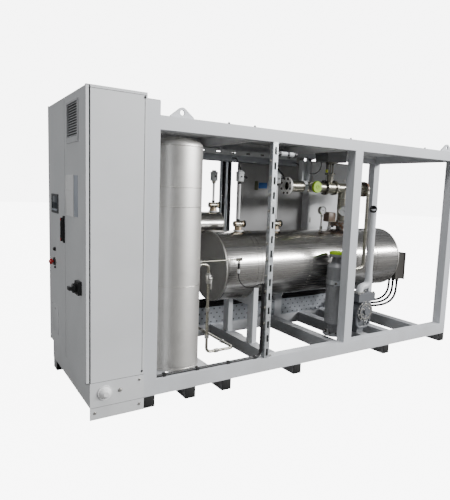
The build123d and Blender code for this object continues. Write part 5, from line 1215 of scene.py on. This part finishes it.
def gauge_dial(frames, cards, ticks, centre, axis, radius):
    """Bezel, card, graduations and pointer of one round gauge."""
    turned(frames, centre, axis, [(radius + past, height) for past, height in BEZEL_PROFILE], 48)
    pin(cards, centre, axis, CARD_THICKNESS, radius - CARD_INSET, 48)
    card = centre + axis * CARD_THICKNESS
    place = Matrix.Translation(card) @ facing(axis)
    tick = (TICK_WIDTH, radius * TICK_SHARE, TICK_HEIGHT)
    for step in range(TICK_COUNT):
        angle = TICK_START + TICK_STEP * step
        dial_mark(ticks, place, angle, radius * TICK_MIDDLE, TICK_HEIGHT / 2, tick)
    hand = (HAND_WIDTH, radius * HAND_SHARE, HAND_HEIGHT)
    dial_mark(ticks, place, READING, radius * HAND_MIDDLE, HAND_LIFT, hand)
    pin(ticks, card, axis, HUB_HEIGHT, HUB_RADIUS, 20, FINE)


def gauge_trim():
    """Dials and nuts of the two gauges, and the cover of the sensor head."""
    frames, cards, ticks, cover = meshes(4)
    gauge_dial(frames, cards, ticks, station(*SMALL_GAUGE, GAUGE_LEVEL), TOWARDS, SMALL_DIAL)
    turn = Vector((-math.sin(LARGE_TURN), -math.cos(LARGE_TURN), 0.0))
    centre = station(RISER, MIDDLE_Y, GAUGE_LEVEL) + turn * LARGE_REACH
    gauge_dial(frames, cards, ticks, centre, turn, LARGE_DIAL)
    for x, z, height, radius in GAUGE_NUTS:
        pin(frames, station(x, MIDDLE_Y, z), UP, height, radius, 6, CRISP)
    piece(frames, "gauge_bezels", "pipe_stainless", "polished")
    piece(cards, "gauge_cards", "white_plastic", "dial")
    piece(ticks, "gauge_marks", "black_plastic")
    for shell in SENSOR_COVER:
        block(cover, *shell)
    piece(cover, "sensor_cover", "box_grey", "brown")


# Instrument columns: places, and levels counted from the head's top, its base or the crown they stand on
VESSEL_COLUMNS, VESSEL_CROWN, VESSEL_HEAD, DRUM_COLUMN = (1.624, 2.072), 1.275, 1.855, 1.544
HEAD_HEIGHT, HEAD_HALF, HEAD_FOOT, HEAD_LID = 0.11, 0.029, 0.004, 0.012
HEAD_COLLAR_HALF, HEAD_COLLAR_BASE, HEAD_COLLAR_TOP = 0.032, 0.03, 0.022
HEAD_CAP_HEIGHT, HEAD_CAP_RADIUS = 0.014, 0.0235
FRONT_PLUG_LEVEL, FRONT_PLUG_REACH, FRONT_PLUG_RADIUS = 0.05, 0.008, 0.008
SIDE_NUT_OFFSET, SIDE_NUT_LEVEL, SIDE_NUT_REACH, SIDE_NUT_RADIUS = 0.026, 0.055, 0.010, 0.0125
ROD_START, ROD_END, ROD_RADIUS = 0.102, 0.006, 0.0122
ROD_NUT_START, ROD_NUT_END, ROD_NUT_HEIGHT, ROD_NUT_RADIUS = 0.094, 0.02, 0.018, 0.0165
WHEEL_OFFSET, WHEEL_LEVEL, WHEEL_RADIUS, WHEEL_RIM = 0.067, 0.066, 0.031, 0.0045
SPOKE_COUNT, SPOKE_LIFT, SPOKE_RADIUS, WHEEL_HUB = 4, 0.004, 0.003, 0.009
VALVE_RING_OFFSET, VALVE_RING = 0.0414, (0.0255, 0.0295, 0.009)
COLUMN_FOOT = ((0.0335, 0.006), (0.0385, 0.006), (0.0352, 0.034), (0.0352, 0.0405), (0.0335, 0.0405))
COLUMN_FLANGE_LEVEL, COLUMN_FLANGE = 0.0025, (0.033, 0.047, 0.011)


def column_trim():
    """Housings, white rods, handwheels and bronze feet of the instrument columns."""
    housings, rods, wheels, rings, flanges, nuts = meshes(6)
    columns = [(x, MIDDLE_Y, VESSEL_CROWN, VESSEL_HEAD) for x in VESSEL_COLUMNS]
    columns.append((DRUM_COLUMN, DRUM_Y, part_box("drum_shell")[1].z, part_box("instrument_columns")[1].z))
    for x, y, crown, top in columns:
        head = top - HEAD_HEIGHT
        square(housings, x, y, HEAD_HALF, (head + HEAD_FOOT, top - HEAD_LID), FOLD)
        square(housings, x, y, HEAD_COLLAR_HALF, (top - HEAD_COLLAR_BASE, top - HEAD_COLLAR_TOP), SOFT)
        pin(housings, station(x, y, top - HEAD_LID), UP, HEAD_CAP_HEIGHT, HEAD_CAP_RADIUS, 28, ROUND)
        front = station(x, y - HEAD_HALF, head + FRONT_PLUG_LEVEL)
        pin(nuts, front, TOWARDS, FRONT_PLUG_REACH, FRONT_PLUG_RADIUS, 20, CRISP)
        side = station(x + SIDE_NUT_OFFSET, y, head + SIDE_NUT_LEVEL)
        pin(nuts, side, RIGHT, SIDE_NUT_REACH, SIDE_NUT_RADIUS, 6, CRISP)
        barrel(rods, station(x, y, crown + ROD_START), station(x, y, head - ROD_END), ROD_RADIUS)
        for z in (crown + ROD_NUT_START, head - ROD_NUT_END):
            pin(nuts, station(x, y, z), UP, ROD_NUT_HEIGHT, ROD_NUT_RADIUS, 6, CRISP)
        wheel = station(x + WHEEL_OFFSET, y, crown + WHEEL_LEVEL)
        hoop(wheels, wheel, RIGHT, WHEEL_RADIUS, WHEEL_RIM, 40)
        for spoke in around(wheel, RIGHT, WHEEL_RADIUS, SPOKE_COUNT, math.pi / 4):
            barrel(wheels, wheel + RIGHT * SPOKE_LIFT, spoke + RIGHT * SPOKE_LIFT, SPOKE_RADIUS, 8)
        pin(wheels, wheel, RIGHT, WHEEL_HUB, WHEEL_HUB, 20, CRISP)
        for offset in (-VALVE_RING_OFFSET, VALVE_RING_OFFSET):
            band(rings, station(x + offset, y, crown + WHEEL_LEVEL), RIGHT, *VALVE_RING, 32)
        turned(rings, station(x, y, crown), UP, COLUMN_FOOT, 36)
        band(flanges, station(x, y, crown + COLUMN_FLANGE_LEVEL), UP, *COLUMN_FLANGE, 36)
    piece(housings, "column_housings", "white_plastic", "pale")
    piece(rods, "column_rods", "white_plastic")
    piece(wheels, "column_handwheels", "black_plastic")
    piece(rings, "column_feet", "pipe_stainless", "bronze")
    piece(flanges, "column_flanges", "white_plastic")
    piece(nuts, "column_nuts", "black_plastic")


# Pump with its motor, and the suction pipe above it
PUMP_X, PUMP_LEVEL, MOTOR_Y = 2.915, 0.455, 0.41
FIN_COUNT, FIN_LOW, FIN_HIGH = 30, Vector((-0.0016, -0.115, 0.089)), Vector((0.0016, 0.115, 0.103))
FAN_Y, FAN_PROFILE = 0.535, (
    (0.09, 0.0), (0.101, 0.0), (0.101, 0.05), (0.09, 0.062), (0.03, 0.062), (0.03, 0.0405),
)
MOTOR_RING_Y, MOTOR_RING = 0.285, (0.09, 0.102, 0.02)
MOTOR_BOX = (
    ((PUMP_X + 0.08, PUMP_X + 0.15), (0.35, 0.46), (PUMP_LEVEL - 0.04, PUMP_LEVEL + 0.045), FOLD),
    ((PUMP_X + 0.149, PUMP_X + 0.157), (0.345, 0.465), (PUMP_LEVEL - 0.045, PUMP_LEVEL + 0.05), ROUND),
)
PUMP_RINGS = ((0.1125, 0.071, 0.0848, 0.004), (0.127, 0.1048, 0.107, 0.012))
PUMP_BOLTS = ((0.125, 0.0955, 10), (0.113, 0.052, 6))
PUMP_BOLT, DECK_BOLT, DECK_LEVEL = 0.011, 0.018, 0.64
DECK_BOLT_XS, DECK_BOLT_YS = (PUMP_X - 0.085, PUMP_X + 0.125), (0.14, 0.26)
DECK_NUT, DECK_NUT_HEIGHT, DECK_NUT_RADIUS = (2.89, 0.2), 0.015, 0.058
SUCTION, MOUTH_LEVEL, MOUTH_TILT = (3.015, 0.2), 1.505, Vector((-0.5, -0.62, 0.6)).normalized()
MOUTH_PROFILE = (
    (0.024, 0.0), (0.036, 0.0), (0.0395, 0.012), (0.0405, 0.034),
    (0.038, 0.04), (0.032, 0.04), (0.024, 0.012),
)
MOUTH_FLOOR, MOUTH_FLOOR_HEIGHT, MOUTH_FLOOR_RADIUS = 0.004, 0.010, 0.034
SUCTION_WELDS, SUCTION_RADIUS, SUCTION_BEAD = (0.82, 1.3), 0.038, 0.0022


def pump_trim():
    """Motor fins, fan cover, terminal box, bolts and bright rings of the pump, and the suction pipe's rim."""
    fins, bright, bolts, rim, welds = meshes(5)
    axle = station(PUMP_X, MOTOR_Y, PUMP_LEVEL)
    for step in range(FIN_COUNT):
        before = set(fins.verts)
        slab(fins, axle + FIN_LOW, axle + FIN_HIGH)
        made = [v for v in fins.verts if v not in before]
        turn = Matrix.Rotation(math.tau * step / FIN_COUNT, 3, "Y")
        bmesh.ops.rotate(fins, verts=made, cent=axle, matrix=turn)
    turned(fins, station(PUMP_X, FAN_Y, PUMP_LEVEL), AWAY, FAN_PROFILE, 48)
    band(fins, station(PUMP_X, MOTOR_RING_Y, PUMP_LEVEL), AWAY, *MOTOR_RING, 48)
    for shell in MOTOR_BOX:
        block(fins, *shell)
    piece(fins, "motor_fins", "pump_dark")
    for y, inner, outer, width in PUMP_RINGS:
        band(bright, station(PUMP_X, y, PUMP_LEVEL), TOWARDS, inner, outer, width, 56)
    piece(bright, "pump_bright_ring", "pipe_stainless", "polished")
    for y, radius, count in PUMP_BOLTS:
        bolt_circle(bolts, station(PUMP_X, y, PUMP_LEVEL), TOWARDS, radius, count, PUMP_BOLT)
    for x, y in product(DECK_BOLT_XS, DECK_BOLT_YS):
        bolt(bolts, station(x, y, DECK_LEVEL), UP, DECK_BOLT)
    pin(bolts, station(*DECK_NUT, DECK_LEVEL), UP, DECK_NUT_HEIGHT, DECK_NUT_RADIUS, 8, SOFT)
    piece(bolts, "pump_bolts", "dark_steel", "bolt_zinc")
    mouth = station(*SUCTION, MOUTH_LEVEL)
    turned(rim, mouth, MOUTH_TILT, MOUTH_PROFILE, 40)
    pin(rim, mouth + MOUTH_TILT * MOUTH_FLOOR, MOUTH_TILT, MOUTH_FLOOR_HEIGHT, MOUTH_FLOOR_RADIUS, 32)
    piece(rim, "suction_rim", "black_plastic", "seal")
    for z in SUCTION_WELDS:
        hoop(welds, station(*SUCTION, z), UP, SUCTION_RADIUS, SUCTION_BEAD, 40)
    piece(welds, "suction_welds", "frame_grey")


# Terminal box, rear box, rear panel and rail conduit
GLAND_X, GLAND_YS, GLAND_TOP, GLAND_NUT_LEVEL = 3.72, (0.39, 0.445, 0.5), 0.7, 0.6715
GLAND_HEX_HEIGHT, GLAND_HEX_RADIUS, GLAND_HEX_EDGE = 0.011, 0.0225, 0.0012
GLAND_PROFILE = ((0.0165, 0.0), (0.0178, 0.0), (0.0205, 0.006), (0.0205, 0.0125), (0.0165, 0.0125))
LID_X, LID_YS, LID_LEVELS, LID_SCREW = 3.804, (0.366, 0.64, 0.914), (0.706, 0.994), 0.011
PANEL_XS, PANEL_Y, PANEL_LEVELS, PANEL_SCREW = (1.935, 2.37, 2.805), 1.128, (1.225, 1.925), 0.014
REAR_BOX_LEVELS, REAR_LOCK, REAR_LOCK_REACH, REAR_LOCK_RADIUS = (1.35, 1.83), (3.385, 1.016), 0.008, 0.014
HINGE, HINGE_HALF, HINGE_RADIUS = (2.868, 1.012), 0.03, 0.006
BLUE_PLATE = ((2.188, 2.302), (1.1255, 1.1282), (1.694, 1.758))
TOP_COVER = ((1.912, 2.828), (1.1285, 1.1395), (1.949, 2.073))
TOP_COVER_LIP = ((1.912, 2.828), (1.1215, 1.1295), (1.949, 1.953))
TOP_COVER_SCREWS, TOP_COVER_SCREW_PLACE, TOP_COVER_SCREW = (1.96, 2.37, 2.78), (1.1285, 2.03), 0.012
OLIVE_STRIP = ((2.137, 2.176), (1.122, 1.1282), (1.675, 1.772))
CLIP_XS, CLIP_SCREW_PLACE, CLIP_SCREW = (0.6044, 0.8924, 1.1874, 1.4585), (0.04, 0.234), 0.009
CLIP_HALF, CLIP_DEPTH, CLIP_LEVELS = 0.0135, (0.021, 0.0595), (0.2095, 0.2125)


def terminal_trim():
    """Gland nuts, screws, locks and plates of the boxes and the rear panel, and the conduit's clips."""
    nuts, screws, plates, cover, strip, clips = meshes(6)
    for y in GLAND_YS:
        pin(nuts, station(GLAND_X, y, GLAND_TOP), DOWN, GLAND_HEX_HEIGHT, GLAND_HEX_RADIUS, 6, GLAND_HEX_EDGE)
        turned(nuts, station(GLAND_X, y, GLAND_NUT_LEVEL), UP, GLAND_PROFILE, 28)
    piece(nuts, "gland_nuts", "black_plastic")
    for y, z in product(LID_YS, LID_LEVELS):
        bolt(screws, station(LID_X, y, z), RIGHT, LID_SCREW)
    for x, z in product(PANEL_XS, PANEL_LEVELS):
        bolt(screws, station(x, PANEL_Y, z), TOWARDS, PANEL_SCREW)
    for z in REAR_BOX_LEVELS:
        pin(screws, station(*REAR_LOCK, z), TOWARDS, REAR_LOCK_REACH, REAR_LOCK_RADIUS, 28, PLATE)
        pin(screws, station(*HINGE, z - HINGE_HALF), UP, 2 * HINGE_HALF, HINGE_RADIUS, 16, CRISP)
    piece(screws, "box_screws", "dark_steel", "bolt_zinc")
    block(plates, *BLUE_PLATE, FINE)
    piece(plates, "blue_plate", "panel_sheet", "blue")
    block(cover, *TOP_COVER, PLATE)
    block(cover, *TOP_COVER_LIP, FINE)
    for x in TOP_COVER_SCREWS:
        bolt(cover, station(x, *TOP_COVER_SCREW_PLACE), TOWARDS, TOP_COVER_SCREW)
    piece(cover, "panel_top_cover", "panel_sheet")
    block(strip, *OLIVE_STRIP, CRISP)
    piece(strip, "olive_strip", "panel_sheet", "olive")
    for x in CLIP_XS:
        bolt(clips, station(x, *CLIP_SCREW_PLACE), UP, CLIP_SCREW)
        block(clips, (x - CLIP_HALF, x + CLIP_HALF), CLIP_DEPTH, CLIP_LEVELS, HAIR)
    piece(clips, "conduit_clip_screws", "dark_steel", "bolt_dark")


leads()
feet()
frame_trim()
cabinet_trim()
front_door_trim()
rear_door_trim()
handle_trim()
tank_trim()
heater_trim()
support_trim()
roof()
struts()
strut_trim()
trays()
strainer_trim()
pipe_trim()
actuator_trim()
gauge_trim()
column_trim()
pump_trim()
terminal_trim()

# Studio: glow that only the camera sees, and the lamps by place, aim, size and power
FLOOR_RADIUS, FLOOR_COLOUR, FLOOR_ROUGHNESS = 40.0, (0.13, 0.128, 0.125, 1.0), 0.9
SKY_COLOUR, WHITE = (0.94, 0.97, 1.0, 1.0), (1.0, 1.0, 1.0, 1.0)
FLOOR_GLOW, SKY_LIGHT, BACKDROP_GLOW = 8.0, 0.27, 8.6
LAMPS = {
    "key": ((14.4, -16.6, 8.6), (0.2, 0.0, 1.1), (16.0, 2.4), 8700.0),
    "overhead": ((0.5, -1.6, 6.2), (0.3, 0.0, 1.0), (7.0, 0.8), 380.0),
    "fill": ((-7.5, 0.1, 1.9), (-2.0, 0.0, 1.2), (1.6, 1.6), 90.0),
    "rim": ((3.0, 6.0, 4.0), (0.5, 0.0, 1.0), (5.0, 2.0), 260.0),
}


def studio_floor(scene):
    """Pale floor that glows for the camera only."""
    bm = bmesh.new()
    bmesh.ops.create_circle(bm, cap_ends=True, cap_tris=True, segments=96, radius=FLOOR_RADIUS)
    mesh = bpy.data.meshes.new("floor")
    bm.to_mesh(mesh)
    bm.free()
    floor = bpy.data.objects.new("floor", mesh)
    scene.collection.objects.link(floor)
    material, nodes, links, shader = start_material("pale_floor")
    shader.inputs["Base Color"].default_value = FLOOR_COLOUR
    shader.inputs["Roughness"].default_value = FLOOR_ROUGHNESS
    shader.inputs["Emission Color"].default_value = WHITE
    seen = nodes.new("ShaderNodeLightPath")
    glow = nodes.new("ShaderNodeMath")
    glow.operation = "MULTIPLY"
    glow.inputs[1].default_value = FLOOR_GLOW
    links.new(seen.outputs["Is Camera Ray"], glow.inputs[0])
    links.new(glow.outputs[0], shader.inputs["Emission Strength"])
    floor.data.materials.append(material)


def studio_light(scene):
    """Faint light from the sky, a white backdrop for the camera, and the lamps."""
    world = bpy.data.worlds.new("studio")
    scene.world = world
    world.use_nodes = True
    nodes, links = world.node_tree.nodes, world.node_tree.links
    sky = nodes["Background"]
    sky.inputs["Color"].default_value = SKY_COLOUR
    sky.inputs["Strength"].default_value = SKY_LIGHT
    white = nodes.new("ShaderNodeBackground")
    white.inputs["Strength"].default_value = BACKDROP_GLOW
    seen = nodes.new("ShaderNodeLightPath")
    choice = nodes.new("ShaderNodeMixShader")
    links.new(seen.outputs["Is Camera Ray"], choice.inputs["Fac"])
    links.new(sky.outputs["Background"], choice.inputs[1])
    links.new(white.outputs["Background"], choice.inputs[2])
    links.new(choice.outputs["Shader"], nodes["World Output"].inputs["Surface"])
    for name, (place, aim, size, power) in LAMPS.items():
        lamp = bpy.data.lights.new(name, "AREA")
        lamp.shape = "RECTANGLE"
        lamp.size, lamp.size_y = size
        lamp.energy = power
        light = bpy.data.objects.new(name, lamp)
        light.location = place
        light.rotation_euler = (Vector(aim) - Vector(place)).to_track_quat("-Z", "Y").to_euler()
        scene.collection.objects.link(light)


def photo_camera(scene):
    """The photograph's camera."""
    camera_data = bpy.data.cameras.new("camera")
    camera_data.lens = CAMERA_LENS
    camera_data.shift_x, camera_data.shift_y = CAMERA_SHIFT
    camera = bpy.data.objects.new("camera", camera_data)
    level = math.cos(CAMERA_PITCH)
    ahead = Vector((math.sin(CAMERA_YAW) * level, math.cos(CAMERA_YAW) * level, -math.sin(CAMERA_PITCH)))
    right = Vector((math.cos(CAMERA_YAW), -math.sin(CAMERA_YAW), 0.0))
    up = right.cross(ahead)
    side = right * math.cos(CAMERA_ROLL) + up * math.sin(CAMERA_ROLL)
    top = up * math.cos(CAMERA_ROLL) - right * math.sin(CAMERA_ROLL)
    turn = Matrix((side, top, -ahead)).transposed()
    camera.matrix_world = Matrix.Translation(CAMERA_PLACE) @ turn.to_4x4()
    scene.collection.objects.link(camera)
    scene.camera = camera


studio_floor(bpy.context.scene)
studio_light(bpy.context.scene)
photo_camera(bpy.context.scene)
